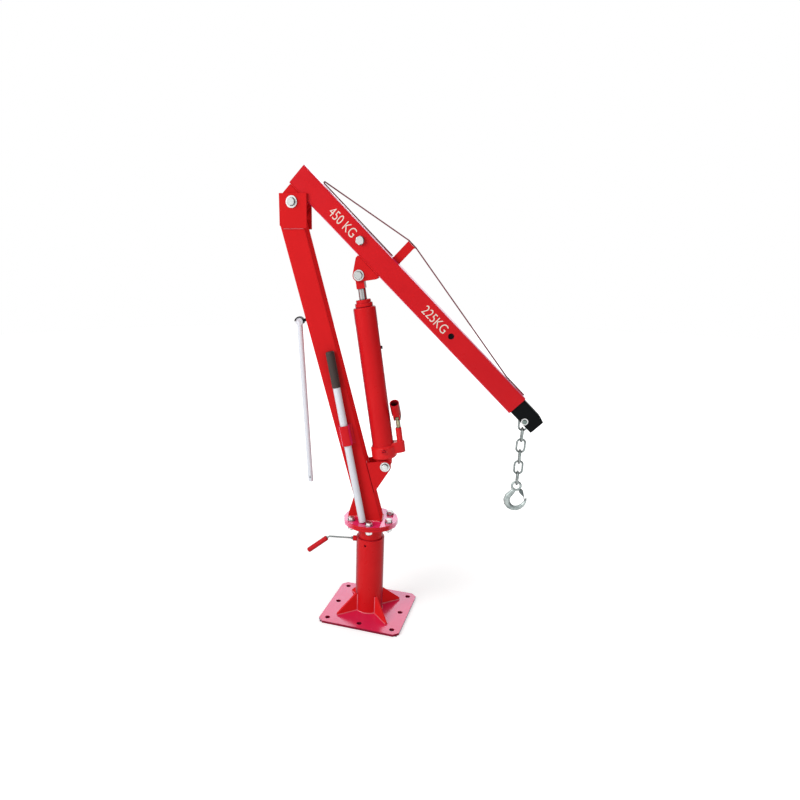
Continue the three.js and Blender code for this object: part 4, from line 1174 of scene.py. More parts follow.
def zinc_plate():
    """Bright zinc with dark edges as painted shade, darker and greener by the attribute "head" on bolt heads
    and nuts.
    """
    name = "Zinc plate"
    if name in bpy.data.materials:
        return bpy.data.materials[name]
    look = finish()
    # Painted shade: the edges of bolts, washers and nuts turn dark.
    edge = shade(look.dull_zinc, 0.2)
    material = plated(
        name, look.zinc, look.dull_zinc, edge, roughness=0.3, Patch_Scale=160.0, Edge_Width=0.001
    )
    tree = material.node_tree
    base = tree.nodes["Principled BSDF"].inputs["Base Color"]
    heads = add_node(tree, "ShaderNodeAttribute", {"attribute_name": "head"})
    tinted = add_node(
        tree,
        "ShaderNodeMix",
        {"data_type": "RGBA", "blend_type": "MULTIPLY"},
        i0=heads.outputs["Fac"],
        i6=base.links[0].from_socket,
        i7=rgba(look.head_tint),
    )
    tree.links.new(tinted.outputs[2], base)
    return material


def yellow_zinc():
    """Yellowish zinc of the pump."""
    look = finish()
    dull = shade(look.brass_zinc, 0.6)
    return plated(
        "Yellow zinc", look.brass_zinc, dull, look.brass_zinc, roughness=0.34, Contact=look.contact * 2
    )


def hard_chrome():
    """Ground chrome of the rod and the cylinder."""
    look = finish()
    return plated(
        "Hard chrome",
        look.chrome,
        shade(look.chrome, 0.92),
        look.chrome,
        roughness=0.1,
        Patch_Scale=40.0,
        Grain_Depth=0.000004,
    )


def chain_steel():
    """Plated steel wire."""
    look = finish()
    return plated(
        "Chain steel",
        look.chain,
        look.dull_chain,
        look.worn_chain,
        roughness=0.36,
        Patch_Scale=210.0,
        Grain_Depth=0.00003,
    )


def dark_steel():
    """Dark spring steel."""
    steel = finish().dull_chain
    return plated("Spring steel", steel, shade(steel, 0.6), steel, roughness=0.34)


def forged_steel():
    """Dull skin of a forging."""
    look = finish()
    return plated(
        "Forged steel",
        shade(look.chain, 1.25),
        shade(look.dull_chain, 1.4),
        look.dull_chain,
        roughness=0.42,
        Patch_Scale=70.0,
        Grain_Scale=600.0,
        Grain_Depth=0.00006,
    )


def black_rubber():
    """Worn black rubber."""
    look = finish()
    return new_finish(
        "Black rubber",
        moulding_group(),
        {
            "Color": rgba(look.rubber),
            "Worn_Color": rgba(shade(look.rubber, 1.9)),
            "Grain_Size": 0.0009,
            "Grain_Depth": 0.00015,
            "Roughness": 0.62,
        },
    )


def vinyl():
    """Dipped red vinyl, with painted shade on its sides."""
    look = finish()
    return new_finish(
        "Vinyl",
        moulding_group(),
        {
            "Color": rgba(look.grip),
            "Worn_Color": rgba(shade(look.grip, 1.15)),
            "Grain_Size": 0.0016,
            "Grain_Depth": 0.00004,
            "Roughness": 0.42,
        },
        painted_rim=look.edge_and_shade_red,
        Specular_IOR_Level=0.15,
    )


# Fasteners


class Bolt(NamedTuple):
    """Sizes of a bolt with its washer and nut.

    shank and washer are radii, flats is the width across the hexagon, and head, nut and plate
    are heights, plate being the washer's. dull is how far head and nut take the darker head tint.
    """

    shank: float
    flats: float
    washer: float
    head: float
    nut: float
    plate: float
    dull: float


BOLTS = {
    "small": Bolt(shank=0.005, flats=0.011, washer=0.010, head=0.005, nut=0.0065, plate=0.002, dull=1.0),
    "middle": Bolt(shank=0.006, flats=0.019, washer=0.012, head=0.008, nut=0.010, plate=0.0022, dull=0.05),
    "ram": Bolt(shank=0.007, flats=0.0185, washer=0.0148, head=0.008, nut=0.010, plate=0.0024, dull=0.3),
    "lock": Bolt(shank=0.008, flats=0.0205, washer=0.0114, head=0.010, nut=0.013, plate=0.001, dull=0.12),
    "head": Bolt(shank=0.007, flats=0.0185, washer=0.0155, head=0.009, nut=0.011, plate=0.0026, dull=0.4),
}
CHAMFER_START = 0.95
CHAMFER_ANGLE = math.radians(30)
CORNER_PLAY = 1.001
WASHER_EDGE = 0.25
WASHER_SIDES = 64
SHANK_SIDES = 48
THREAD_END = 0.004
PITCH = 0.00175
THREAD_DEPTH = 0.0009
POINT_HEIGHT = 0.001
POINT_TAPER = 0.0018
NUT_GAP = 0.0002


def hex_radius(flats, angle):
    """Distance from a hexagon's middle to its outline."""
    return flats / 2 / math.cos((angle % HEX_TURN) - HEX_TURN / 2)


def hex_rows(low, high, flats, both_ends, steps=3):
    """Rows of (height, largest radius) that chamfer a hexagon's corners at one end or both."""
    inner = flats / 2 * CHAMFER_START
    corner = flats / math.sqrt(3) * CORNER_PLAY
    step = corner - inner
    fall = step * math.tan(CHAMFER_ANGLE)
    rows = [(low + fall * i / steps, inner + step * i / steps) for i in range(steps)]
    rows.append((low + fall, corner))
    if not both_ends:
        return [*rows, (high, corner)]
    rows.append((high - fall, corner))
    rows += [(high - fall + fall * i / steps, corner - step * i / steps) for i in range(1, steps + 1)]
    return rows


def new_bolt_shape():
    """An empty shape whose points carry how far they take the head tint."""
    shape = bmesh.new()
    shape.verts.layers.float.new("head")
    return shape


def add_hexagon(shape, low, high, size, both_ends, bore=0, sides=72):
    """Adds a hexagonal head or nut along Z, chamfered at its lower end or both, with any bore."""
    flats = size.flats
    first = len(shape.verts)
    rings = []
    for height, limit in hex_rows(low, high, flats, both_ends):
        ring = []
        for k in range(sides):
            angle = 2 * math.pi * k / sides
            radius = min(hex_radius(flats, angle), limit)
            ring.append(shape.verts.new(polar(radius, angle, height)))
        rings.append(ring)
    for below, above in zip(rings, rings[1:]):
        skin(shape, below, above)
    if bore:
        ends = lathe(shape, [(bore, low), (bore, high)], sides)
        skin(shape, ends[0], rings[0])
        skin(shape, rings[-1], ends[1])
    else:
        skin(shape, [shape.verts.new((0, 0, low))], rings[0])
        skin(shape, rings[-1], [shape.verts.new((0, 0, high))])
    shape.verts.ensure_lookup_table()
    dull = shape.verts.layers.float["head"]
    for point in shape.verts[first:]:
        point[dull] = size.dull


def washer_profile(inner, outer, low, high):
    """Section of a washer with chamfered rims."""
    edge = (high - low) * WASHER_EDGE
    return [
        (inner, low),
        (outer - edge, low),
        (outer, low + edge),
        (outer, high - edge),
        (outer - edge, high),
        (inner, high),
        (inner, low),
    ]


def thread_profile(radius, low, high):
    """Rows that rise along a threaded shank."""
    turns = max(int((high - low) / PITCH), 1)
    rows = []
    for i in range(turns):
        z = low + (high - low) * i / turns
        rows += [(radius - THREAD_DEPTH, z), (radius, z + (high - low) / turns / 2)]
    rows.append((radius - THREAD_DEPTH, high))
    return rows


def add_bolt(shape, size, low, high):
    """A bolt along Z whose joint reaches from low to high, with its head below."""
    seat = low - SEAT_GAP
    face = seat - size.plate
    nut_face = high + SEAT_GAP + size.plate
    end = nut_face + size.nut + THREAD_END
    add_hexagon(shape, face - size.head, face, size, both_ends=False)
    lathe(shape, washer_profile(size.shank, size.washer, face, seat), WASHER_SIDES)
    threads = thread_profile(size.shank, nut_face, end - POINT_HEIGHT)
    shank = [(0, face), (size.shank, face), (size.shank, nut_face - PITCH)]
    lathe(shape, [*shank, *threads, (size.shank - POINT_TAPER, end), (0, end)], SHANK_SIDES)


def add_nut(shape, size, high):
    """The washer and nut of a bolt whose joint ends at high."""
    seat = high + SEAT_GAP
    face = seat + size.plate
    bore = size.shank + NUT_GAP
    lathe(shape, washer_profile(bore, size.washer, seat, face), WASHER_SIDES)
    add_hexagon(shape, face, face + size.nut, size, both_ends=True, bore=bore)


def finish_bolt(name, shape, matrix, body, stands_for):
    """Puts a finished bolt or nut in its place on the crane."""
    bmesh.ops.transform(shape, matrix=matrix, verts=shape.verts)
    mesh = mesh_from(face_outwards(shape), name)
    mesh.set_sharp_from_angle(angle=BOLT_SHARP)
    add_piece(name, mesh, zinc_plate(), body, stands_for)


def across_place(node, x_axis):
    """A matrix on the crane's middle plane at a CAD node, with its Z along +Y."""
    middle = box_middle(node)
    return placing(Vector((middle.x, 0, middle.z)), x_axis, ACROSS)


def cross_bolt(node, low, high, size, turn, nut=True):
    """A bolt along +Y through a joint, with its head at the front."""
    shape = new_bolt_shape()
    add_bolt(shape, BOLTS[size], low, high)
    if nut:
        add_nut(shape, BOLTS[size], high)
    matrix = across_place(node, Vector((math.cos(turn), 0, math.sin(turn))))
    finish_bolt(f"{node}_made", shape, matrix, NODES[node]["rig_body"], (node,))


# Operators


class CraneOperator(bpy.types.Operator):
    """Common ground of the crane's operators."""

    bl_options = {"REGISTER", "UNDO"}


class CRANE_OT_base(CraneOperator):
    """Base plate, corner gussets and post, with the weld beads between them"""

    bl_idname = "crane.base"
    bl_label = "Base"
    GUSSETS = 4

    def execute(self, context):
        s = sizes()
        dress("base_plate", plate_paint(), s.plate_rounding)
        for i in range(self.GUSSETS):
            dress(f"base_gusset_{i + 1}", gusset_paint())
        dress("base_post", round_red_paint())
        paths = [circle_path(s.plate_top, s.post_radius)]
        half = s.gusset_thick / 2
        for i in range(self.GUSSETS):
            turn = BASE_PLACE @ Matrix.Rotation(2 * math.pi * (i + 0.5) / self.GUSSETS, 4, "Z")
            for side in (-half, half):
                foot = Vector((s.gusset_reach, side, s.plate_top))
                heel = Vector((s.post_radius, side, s.plate_top))
                top = heel + UP * (s.gusset_height - BEAD_GAP)
                paths.append(([turn @ foot, turn @ heel], False))
                paths.append(([turn @ (heel + UP * BEAD_GAP), turn @ top], False))
        add_welds("base_welds", "base", paths, s.weld, seed=1.0)
        return {"FINISHED"}


class CRANE_OT_lock_screw(CraneOperator):
    """Lock screw, its cranked wire handle and the dipped grip"""

    bl_idname = "crane.lock_screw"
    bl_label = "Lock screw"

    def execute(self, context):
        s = sizes()
        dress("lock_screw", chain_steel(), s.wire_rounding)
        dress("lock_grip", vinyl(), s.grip_rounding, segments=4)
        return {"FINISHED"}


class CRANE_OT_swivel(CraneOperator):
    """Swivel tube and the two bolted flanges"""

    bl_idname = "crane.swivel"
    bl_label = "Swivel and flanges"

    def execute(self, context):
        s = sizes()
        paint = red_paint()
        dress("swivel_tube", round_red_paint())
        dress("swivel_flange", paint, s.plate_rounding)
        dress("mast_flange", paint, s.plate_rounding)
        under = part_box("swivel_flange")[0].z
        add_welds("swivel_welds", "swivel", [circle_path(under, s.swivel_radius)], s.weld, seed=2.0)
        return {"FINISHED"}


class CRANE_OT_flange_bolts(CraneOperator):
    """Bolts, washers and nuts round the flange"""

    bl_idname = "crane.flange_bolts"
    bl_label = "Flange bolts"

    def execute(self, context):
        s = sizes()
        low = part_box("swivel_flange")[0].z
        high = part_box("mast_flange")[1].z
        shape = new_bolt_shape()
        add_bolt(shape, BOLTS["middle"], -high, -low)
        add_nut(shape, BOLTS["middle"], -low)
        bmesh.ops.transform(shape, matrix=Matrix.Rotation(math.pi, 4, "X"), verts=shape.verts)
        mesh = mesh_from(face_outwards(shape), "flange_bolt")
        mesh.set_sharp_from_angle(angle=BOLT_SHARP)
        bolt = bpy.data.objects.new("flange_bolt", mesh)
        context.scene.collection.objects.link(bolt)
        values = {
            "Bolt": bolt,
            "Count": s.flange_bolts,
            "Circle Radius": s.bolt_circle,
            "Finish": zinc_plate(),
        }
        ring = run_tree("flange_bolts", bolt_ring_tree(), values)
        bpy.data.objects.remove(bolt)
        stands_for = [f"flange_bolt_{i + 1}" for i in range(s.flange_bolts)]
        add_piece("flange_bolts", ring, zinc_plate(), "swivel", stands_for)
        return {"FINISHED"}


class CRANE_OT_mast(CraneOperator):
    """Leaning mast with its gusset, the ram's ears and the head cheeks"""

    bl_idname = "crane.mast"
    bl_label = "Mast"
    FOOT_OFFSET = 0.003
    CORNER_GAP = 0.006
    CHEEK_GAP = 0.008
    SEAM_GAPS = (0.003, 0.004)
    EAR_THICK = 0.007
    EAR_GAPS = (0.006, 0.012)

    def execute(self, context):
        s = sizes()
        paint = mast_paint()
        for node in ("mast_tube", "mast_gusset", "mast_ear_front", "mast_ear_back"):
            dress(node, paint)
        dress("cheek_front", paint, s.plate_rounding)
        dress("cheek_back", paint, s.plate_rounding)
        low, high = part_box("mast_flange")
        foot_x = (low.x + high.x) / 2 + self.FOOT_OFFSET
        half = s.mast_side / 2
        wide = half / math.cos(MAST_LEAN)
        add_welds("mast_foot_welds", "swivel", self.foot_beads(foot_x, half, wide), s.weld, seed=3.0)
        add_welds("mast_welds", "swivel", self.fine_beads(foot_x, half, wide), s.fine_weld, seed=4.0)
        return {"FINISHED"}

    def foot_beads(self, foot_x, half, wide):
        """Seams round the mast's foot and along both sides of its gusset."""
        low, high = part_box("mast_gusset")
        corners = [(-wide, -half), (wide, -half), (wide, half), (-wide, half)]
        foot = [Vector((foot_x + x, y, low.z)) for x, y in corners]
        beads = []
        for corner, following in zip(foot, foot[1:] + foot[:1]):
            cut = (following - corner).normalized() * self.CORNER_GAP
            beads.append(([corner + cut, following - cut], False))
        for y in (low.y, high.y):
            toe = Vector((low.x, y, low.z))
            heel = Vector((foot_x - wide, y, low.z))
            rise = (high.z - low.z) / math.cos(MAST_LEAN)
            beads.append(([toe, heel], False))
            beads.append(([heel + UP * BEAD_GAP, heel + MAST_AXIS * rise], False))
        return beads

    def fine_beads(self, foot_x, half, wide):
        """Seams under the cheeks and along the ears."""
        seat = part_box("mast_gusset")[0].z
        beads = []
        for node, side in (("cheek_front", -half), ("cheek_back", half)):
            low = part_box(node)[0]
            middle = Vector((foot_x, side, seat)) + MAST_AXIS * ((low.z - seat) / MAST_AXIS.z)
            start = max(low.x + self.CHEEK_GAP, middle.x - wide + self.SEAM_GAPS[0])
            left = Vector((start, side, low.z))
            right = Vector((middle.x + wide - self.SEAM_GAPS[1], side, low.z))
            beads.append(([left, right], False))
        low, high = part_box("mast_ear_front")
        start = (low.z + self.EAR_GAPS[0] - seat) / MAST_AXIS.z
        end = (high.z - self.EAR_GAPS[1] - seat) / MAST_AXIS.z
        face = MAST_AXIS.cross(ACROSS) * -half
        for side in (-half + self.EAR_THICK, half - self.EAR_THICK):
            root = Vector((foot_x, side, seat)) + face
            beads.append(([root + MAST_AXIS * start, root + MAST_AXIS * end], False))
        return beads


class CRANE_OT_pins(CraneOperator):
    """Pivot bolts, the lock bolt with its nut, and the hook bolt"""

    bl_idname = "crane.pins"
    bl_label = "Pivot bolts"

    def execute(self, context):
        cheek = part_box("cheek_back")[1].y
        mast = sizes().mast_side / 2
        boom = sizes().boom_side / 2
        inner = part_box("inner_boom")[1].y
        cross_bolt("head_bolt", -cheek, cheek, "head", turn=0.2)
        cross_bolt("ram_foot_bolt", -mast, mast, "ram", turn=0.5)
        cross_bolt("ram_head_bolt", -boom, boom, "ram", turn=0.1)
        cross_bolt("hook_bolt", -inner, inner, "small", turn=0.7)
        cross_bolt("lock_bolt", -boom, boom, "lock", turn=0.35, nut=False)
        shape = new_bolt_shape()
        add_nut(shape, BOLTS["lock"], boom)
        matrix = across_place("lock_nut", Vector((1, 0, 0)))
        finish_bolt("lock_nut_made", shape, matrix, "lock_nut", ("lock_nut",))
        return {"FINISHED"}


class CRANE_OT_handles(CraneOperator):
    """Pump handle in its strap, and the spare handle rod in its clip"""

    bl_idname = "crane.handles"
    bl_label = "Handles"
    RIBS = 22
    SIDES = 132
    ROWS = 28
    RIB_DEPTH = 0.00045
    SMOOTH_END = 0.008
    ROUND_END = 0.004
    END_SHRINK = 0.0022
    END_WALL = 0.0027
    COLLAR = 0.0002
    RUBBER_INSET = 0.0002

    def execute(self, context):
        s = sizes()
        dress("pump_handle", white_paint(), s.strap_rounding)
        dress("spare_handle", white_paint(), s.bar_rounding)
        dress("handle_strap", red_paint(), s.strap_rounding)
        dress("handle_clip", black_paint(), s.clip_rounding)
        self.add_rubber()
        return {"FINISHED"}

    def add_rubber(self):
        """Closed rubber sleeve on the pump handle's end, ribbed along its middle."""
        s = sizes()
        foot, reach = node_axis("handle_rubber", HANDLE_AXIS)
        matrix = placing(foot, Vector((1, 0, 0)) - HANDLE_AXIS * HANDLE_AXIS.x, HANDLE_AXIS)
        outer = s.handle_radius + s.rubber_wall - self.RUBBER_INSET
        bore = s.handle_radius + SEAT_GAP
        shape = bmesh.new()

        def add_ring(height, radius, ribbed=0.0):
            ring = []
            for k in range(self.SIDES):
                angle = 2 * math.pi * k / self.SIDES
                out = radius - ribbed * (0.5 - 0.5 * math.cos(self.RIBS * angle))
                ring.append(shape.verts.new(matrix @ polar(out, angle, height)))
            return ring

        rings = []
        for i in range(self.ROWS + 1):
            height = reach * i / self.ROWS
            end = min(height, reach - height)
            ribbed = self.RIB_DEPTH if end > self.SMOOTH_END else 0.0
            collar = self.COLLAR if end < self.ROUND_END else 0.0
            shrink = self.END_SHRINK * max(0.0, 1 - (reach - height) / self.ROUND_END) ** 2
            rings.append(add_ring(height, outer - shrink + collar, ribbed))
        for low, high in zip(rings, rings[1:]):
            skin(shape, low, high)
        mouth = add_ring(0, bore)
        skin(shape, mouth, rings[0])
        inner = add_ring(reach - self.END_WALL, bore)
        skin(shape, inner, mouth)
        skin(shape, [shape.verts.new(matrix @ Vector((0, 0, reach - self.END_WALL)))], inner)
        skin(shape, rings[-1], [shape.verts.new(matrix @ Vector((0, 0, reach)))])
        mesh = mesh_from(face_outwards(shape), "handle_rubber")
        mesh.set_sharp_from_angle(angle=RUBBER_SHARP)
        add_piece("handle_rubber_made", mesh, black_rubber(), "pump_handle", ("handle_rubber",))


def boom_line(start, end, y, height):
    """A straight open path along the boom."""
    return [BOOM_PLACE @ Vector((x, y, height)) for x in (start, end)], False


class CRANE_OT_boom(CraneOperator):
    """Boom tube with its lug, ears and king post, and the load marks"""

    bl_idname = "crane.boom"
    bl_label = "Boom"
    KING_HALF = 0.005
    SEAM_RADIUS = 0.0032
    SEAM_INSET = 0.0027
    SEAM_HEIGHT = 0.0023
    SEAMS = ((-0.033, 0.033), (0.2245, 0.2995))
    ROD_WELD = 0.03
    ROD_WELD_GAPS = (0.006, 0.004)
    ROD_WELD_LIFT = 0.0004
    ROD_WELD_SHARE = 0.6
    NEAR_MARK = (0.089, 0.178)
    FAR_MARK = (0.448, 0.534)
    MARK_FILM = 0.0001
    THINNER = -0.006

    def execute(self, context):
        s = sizes()
        dress("boom_tube", red_paint())
        for node in ("boom_lug", "boom_ear_front", "boom_ear_back", "king_post"):
            dress(node, mast_paint())
        top = s.boom_above_pin + s.boom_side
        king_end = s.king_from + s.king_width
        half = self.KING_HALF
        king = [(s.king_from, -half), (king_end, -half), (king_end, half), (s.king_from, half)]
        beads = [([BOOM_PLACE @ Vector((x, y, top)) for x, y in king], True)]
        side = s.boom_side / 2 - self.SEAM_INSET
        height = s.boom_above_pin + self.SEAM_HEIGHT
        seams = [boom_line(start, end, y, height) for y in (-side, side) for start, end in self.SEAMS]
        add_welds("boom_seams", "boom", seams, self.SEAM_RADIUS, seed=7.0, ground=True)
        add_welds("boom_welds", "boom", beads, s.fine_weld, seed=5.0, ground=True)
        spots = list(zip((s.king_from, s.rod_end), self.ROD_WELD_GAPS))
        rod = [
            boom_line(end - self.ROD_WELD, end - gap, y, top + self.ROD_WELD_LIFT)
            for y in (-s.rod_radius, s.rod_radius)
            for end, gap in spots
        ]
        add_welds("rod_welds", "boom", rod, s.rod_radius * self.ROD_WELD_SHARE, seed=8.0)
        self.add_mark("near_mark", s.near_mark, *self.NEAR_MARK)
        self.add_mark("far_mark", s.far_mark, *self.FAR_MARK)
        return {"FINISHED"}

    def add_mark(self, name, text, start, end):
        """Sprays a load mark on the boom's front face, between two places along it."""
        s = sizes()
        font = bpy.data.curves.new(name, "FONT")
        font.body = text
        font.extrude = self.MARK_FILM
        font.align_x = "LEFT"
        font.offset = self.THINNER
        holder = bpy.data.objects.new(name, font)
        bpy.context.scene.collection.objects.link(holder)
        mesh = bake_modifiers(holder)
        across = [v.co.x for v in mesh.vertices]
        upward = [v.co.y for v in mesh.vertices]
        low = Vector((min(across), min(upward), 0))
        high = Vector((max(across), max(upward), 0))
        wide = (end - start) / (high.x - low.x)
        stretch = Matrix.Diagonal((wide, s.mark_height / (high.y - low.y), 1, 1))
        foot = s.boom_above_pin + s.boom_side / 2 - s.mark_height / 2
        place = Matrix.Translation((start, -s.boom_side / 2 - self.MARK_FILM / 2, foot))
        stand = Matrix.Rotation(math.pi / 2, 4, "X")
        mesh.transform(BOOM_PLACE @ place @ stand @ stretch @ Matrix.Translation(-low))
        add_piece(name, mesh, marking_paint(), "boom")


class CRANE_OT_truss_rod(CraneOperator):
    """Truss rod, bent from one bar over the king post"""

    bl_idname = "crane.truss_rod"
    bl_label = "Truss rod"
    LEG_GAP = 0.004
    PAST_KING = 0.0025
    BEND_SHARE = 0.9

    def execute(self, context):
        s = sizes()
        top = s.boom_above_pin + s.boom_side
        low = top + SEAT_GAP + s.rod_radius
        high = top + s.king_height + SEAT_GAP + s.rod_radius
        turn_x = s.rod_apex + s.rod_radius
        points = [
            (s.king_from - self.LEG_GAP, low),
            (turn_x, low + s.rod_lift),
            (turn_x, low + s.rod_lift + 2 * s.rod_hairpin),
            (s.king_from, high),
            (s.king_from + s.king_width + self.PAST_KING, high),
            (s.rod_down, low),
            (s.rod_end, low),
        ]
        path = [BOOM_PLACE @ Vector((x, 0, z)) for x, z in points]
        bend = s.rod_hairpin * self.BEND_SHARE
        values = {"Radius": s.rod_radius, "Bend Radius": bend, "Finish": rod_paint()}
        mesh = run_tree("truss_rod", rod_tree(), values, [(path, False)])
        add_piece("truss_rod_made", mesh, rod_paint(), "boom", ("truss_rod",))
        return {"FINISHED"}


class CRANE_OT_inner_boom(CraneOperator):
    """Sliding inner boom"""

    bl_idname = "crane.inner_boom"
    bl_label = "Inner boom"

    def execute(self, context):
        dress("inner_boom", black_paint())
        return {"FINISHED"}


class CRANE_OT_chain(CraneOperator):
    """Chain links"""

    bl_idname = "crane.chain"
    bl_label = "Chain"

    def execute(self, context):
        s = sizes()
        values = {
            "Wire Radius": s.wire_radius,
            "Width": s.link_width - 2 * s.wire_radius,
            "Length": s.link_pitch + 2 * s.wire_radius,
            "Finish": chain_steel(),
        }
        count = sum(name.startswith("chain_link_") for name in NODES)
        for i in range(count):
            node = f"chain_link_{i + 1}"
            mesh = run_tree(node, link_tree(), values)
            stand = Matrix.Rotation(math.pi / 2, 4, "X")
            turn = Matrix.Rotation(math.pi / 2 * (i % 2), 4, "Z")
            mesh.transform(Matrix.Translation(box_middle(node)) @ turn @ stand)
            add_piece(f"{node}_made", mesh, chain_steel(), f"link_{i + 1}", (node,))
        return {"FINISHED"}


class CRANE_OT_hook(CraneOperator):
    """Forged hook and its sprung latch"""

    bl_idname = "crane.hook"
    bl_label = "Hook"

    def execute(self, context):
        s = sizes()
        mesh = grained(merged_copy("hook_body"), "hook_body", s.forged_rounding, passes=7)
        add_piece("hook_body_made", mesh, forged_steel(), "hook", ("hook_body",))
        dress("hook_latch", dark_steel(), s.latch_rounding)
        return {"FINISHED"}


class CRANE_OT_ram(CraneOperator):
    """Hydraulic ram: casting, tank, gland, rod and saddle"""

    bl_idname = "crane.ram"
    bl_label = "Ram"

    def execute(self, context):
        s = sizes()
        mesh = grained(merged_copy("ram_casting"), "ram_casting", s.cast_rounding, passes=5)
        add_piece("ram_casting_made", mesh, cast_red_paint(), "ram", ("ram_casting",))
        for node in ("ram_tank", "ram_gland", "rod_end"):
            dress(node, round_red_paint(), s.turned_rounding)
        dress("ram_cylinder", hard_chrome(), s.ground_rounding)
        dress("ram_rod", hard_chrome(), s.ground_rounding)
        dress("filler_plug", black_rubber(), s.strap_rounding)
        dress("release_valve", round_red_paint(), s.ground_rounding)
        ring = circle_path(s.tank_foot, s.tank_radius, RAM_PLACE)
        add_welds("tank_weld", "ram", [ring], s.fine_weld, seed=6.0, ground=True)
        return {"FINISHED"}


class CRANE_OT_pump(CraneOperator):
    """Pump plunger, link and handle lever"""

    bl_idname = "crane.pump"
    bl_label = "Pump"

    def execute(self, context):
        s = sizes()
        dress("pump_plunger", yellow_zinc(), s.wire_rounding)
        dress("pump_link", yellow_zinc(), s.strap_rounding)
        dress("pump_lever", socket_paint(), s.clip_rounding)
        return {"FINISHED"}


class CRANE_OT_stage(CraneOperator):
    """Floor, lamps, world and camera"""

    bl_idname = "crane.stage"
    bl_label = "Stage"
    FLOOR_RADIUS = 9
    FLOOR_REACH = (0.3, 1.7)
    FLOOR_GLOW = (0.42, 0.9)
    BEHIND = (-0.1, 0.35)
    ABOVE = (0.45, 0.8)
    DARK_SIDE = (0.3, 0.6)
    AIM = (0.05, 0, 0.6)

    def execute(self, context):
        self.add_floor(context)
        self.light_world(context)
        self.add_lamps(context)
        self.add_camera(context)
        context.scene.view_settings.view_transform = "Standard"
        return {"FINISHED"}

    def add_floor(self, context):
        shape = bmesh.new()
        bmesh.ops.create_circle(shape, cap_ends=True, segments=96, radius=self.FLOOR_RADIUS)
        floor = bpy.data.objects.new("floor", mesh_from(shape, "floor"))
        context.scene.collection.objects.link(floor)
        material = bpy.data.materials.new("Pale floor")
        material.use_nodes = True
        tree = material.node_tree
        principled = tree.nodes["Principled BSDF"]
        principled.inputs["Roughness"].default_value = 0.9
        principled.inputs["Specular IOR Level"].default_value = 0.1
        principled.inputs["Emission Color"].default_value = (1, 1, 1, 1)
        place = tree.nodes.new("ShaderNodeTexCoord")
        spot = place.outputs["Object"]
        away = add_node(tree, "ShaderNodeVectorMath", {"operation": "LENGTH"}, i0=spot)
        glow = remap(tree, away.outputs["Value"], *self.FLOOR_REACH, *self.FLOOR_GLOW)
        turned = add_node(tree, "ShaderNodeMapping", Vector=spot, Rotation=(0, 0, -BASE_TURN))
        sides = add_node(tree, "ShaderNodeSeparateXYZ", i0=turned.outputs[0])
        reach = sums(
            tree,
            "MAXIMUM",
            sums(tree, "ABSOLUTE", sides.outputs["X"]),
            sums(tree, "ABSOLUTE", sides.outputs["Y"]),
        )
        # Painted shade: the floor under the base plate is dark and does not glow, so its bolt holes look into
        # shade.
        open_floor = sums(tree, "GREATER_THAN", reach, stage().shaded_floor_half)
        shown = sums(tree, "MULTIPLY", seen_directly(tree), open_floor)
        tree.links.new(sums(tree, "MULTIPLY", shown, glow), principled.inputs["Emission Strength"])
        tone = blend(tree, open_floor, rgba(finish().crevice_shade_red), rgba(stage().floor))
        tree.links.new(tone, principled.inputs["Base Color"])
        floor.data.materials.append(material)

    def light_world(self, context):
        world = bpy.data.worlds.new("Studio")
        world.use_nodes = True
        tree = world.node_tree
        background = tree.nodes["Background"]
        background.inputs["Color"].default_value = (1, 1, 1, 1)
        path = tree.nodes.new("ShaderNodeLightPath")
        place = tree.nodes.new("ShaderNodeTexCoord")
        way = add_node(tree, "ShaderNodeSeparateXYZ", i0=place.outputs["Generated"])
        behind = remap(tree, way.outputs["Y"], *self.BEHIND)
        above = remap(tree, way.outputs["Z"], *self.ABOVE)
        bright = remap(tree, sums(tree, "MAXIMUM", behind, above), 0.0, 1.0, stage().front_glow, 1.0)
        side = remap(tree, way.outputs["X"], *self.DARK_SIDE, 1.0, stage().side_glow)
        lit = sums(tree, "MULTIPLY", bright, side)
        mirrored = sums(tree, "MULTIPLY", path.outputs["Is Glossy Ray"], lit)
        direct = sums(tree, "MAXIMUM", path.outputs["Is Camera Ray"], path.outputs["Is Transmission Ray"])
        seen = sums(tree, "MAXIMUM", direct, mirrored)
        other = sums(tree, "MULTIPLY", path.outputs["Is Diffuse Ray"], stage().ambient)
        tree.links.new(sums(tree, "MAXIMUM", seen, other), background.inputs["Strength"])
        context.scene.world = world

    def add_lamps(self, context):
        s = stage()
        lamps = (
            ("key_lamp", s.key_power, (1.3, 1.3), (-1.6, -1.6, 1.7)),
            ("fill_lamp", s.fill_power, (1.6, 1.6), (1.6, -2.2, 1.6)),
            ("back_lamp", s.back_power, (3.0, 1.6), (0.6, 2.4, 2.2)),
        )
        for name, power, (wide, high), place in lamps:
            light = bpy.data.lights.new(name, "AREA")
            light.shape = "RECTANGLE"
            light.size = wide
            light.size_y = high
            light.energy = power
            lamp = bpy.data.objects.new(name, light)
            lamp.location = place
            aim = Vector(self.AIM) - Vector(place)
            lamp.rotation_euler = aim.to_track_quat("-Z", "Y").to_euler()
            lamp.visible_camera = False
            context.scene.collection.objects.link(lamp)

    def add_camera(self, context):
        s = stage()
        data = bpy.data.cameras.new("camera")
        data.sensor_width = 36
        data.lens = s.lens
        data.shift_x = s.shift_x
        data.shift_y = s.shift_y
        data.clip_start = 0.05
        data.clip_end = 40
        camera = bpy.data.objects.new("camera", data)
        flat = math.cos(s.pitch)
        back = Vector((math.sin(s.turn) * flat, -math.cos(s.turn) * flat, math.sin(s.pitch)))
        camera.location = Vector(s.target) + back * s.distance
        camera.rotation_euler = (-back).to_track_quat("-Z", "Y").to_euler()
        context.scene.collection.objects.link(camera)
        context.scene.camera = camera


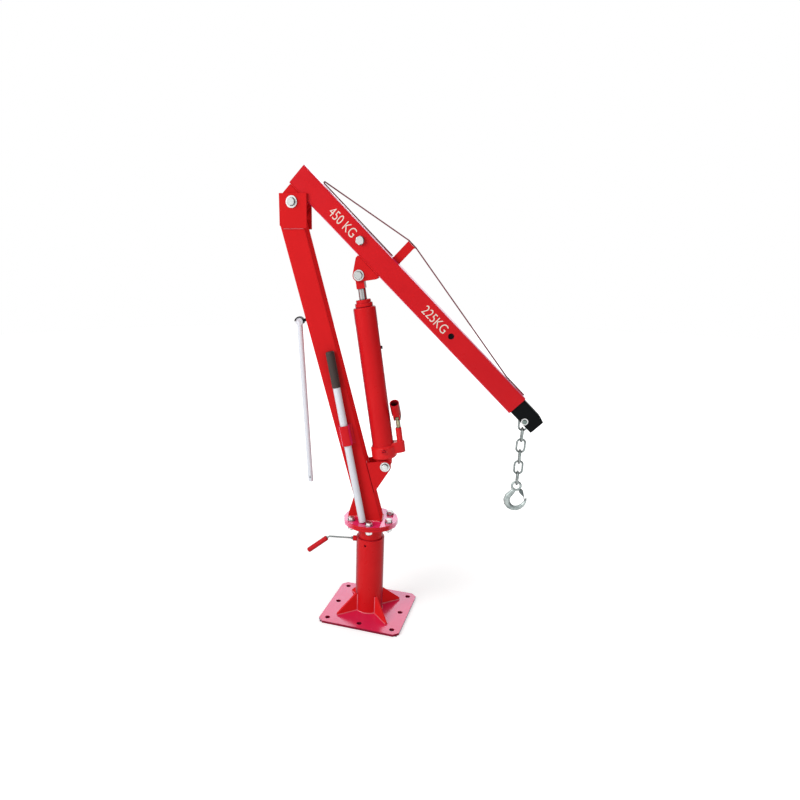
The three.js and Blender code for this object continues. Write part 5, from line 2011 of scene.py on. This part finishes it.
def seen_directly(tree):
    """1 for rays from the camera, reflections and glass, and 0 for the light that falls on things."""
    path = tree.nodes.new("ShaderNodeLightPath")
    shiny = sums(tree, "MAXIMUM", path.outputs["Is Glossy Ray"], path.outputs["Is Transmission Ray"])
    return sums(tree, "MAXIMUM", path.outputs["Is Camera Ray"], shiny)


class CRANE_PT_panel(bpy.types.Panel):
    """Lists the crane's settings and the operators that build it"""

    bl_idname = "CRANE_PT_panel"
    bl_label = "Truck Bed Crane"
    bl_space_type = "VIEW_3D"
    bl_region_type = "UI"
    bl_category = "Crane"

    def draw(self, context):
        for title, group in (("Finish", finish()), ("Sizes", sizes()), ("Stage", stage())):
            box = self.layout.box()
            box.label(text=title)
            for key in group.__annotations__:
                box.prop(group, key)
        for operator in OPERATORS:
            self.layout.operator(operator.bl_idname)


OPERATORS = (
    CRANE_OT_base,
    CRANE_OT_lock_screw,
    CRANE_OT_swivel,
    CRANE_OT_flange_bolts,
    CRANE_OT_mast,
    CRANE_OT_pins,
    CRANE_OT_handles,
    CRANE_OT_boom,
    CRANE_OT_truss_rod,
    CRANE_OT_inner_boom,
    CRANE_OT_chain,
    CRANE_OT_hook,
    CRANE_OT_ram,
    CRANE_OT_pump,
    CRANE_OT_stage,
)
CLASSES = (CraneFinish, CraneSizes, CraneStage, *OPERATORS, CRANE_PT_panel)


def register():
    """Adds the crane's settings, operators and panel."""
    for cls in CLASSES:
        bpy.utils.register_class(cls)
    bpy.types.Scene.crane_finish = PointerProperty(type=CraneFinish)
    bpy.types.Scene.crane_sizes = PointerProperty(type=CraneSizes)
    bpy.types.Scene.crane_stage = PointerProperty(type=CraneStage)


def unregister():
    """Takes them away again."""
    del bpy.types.Scene.crane_stage
    del bpy.types.Scene.crane_sizes
    del bpy.types.Scene.crane_finish
    for cls in reversed(CLASSES):
        bpy.utils.unregister_class(cls)


def main():
    """Builds the crane."""
    register()
    for operator in OPERATORS:
        group, name = operator.bl_idname.split(".")
        getattr(getattr(bpy.ops, group), name)()


if __name__ == "__main__":
    main()
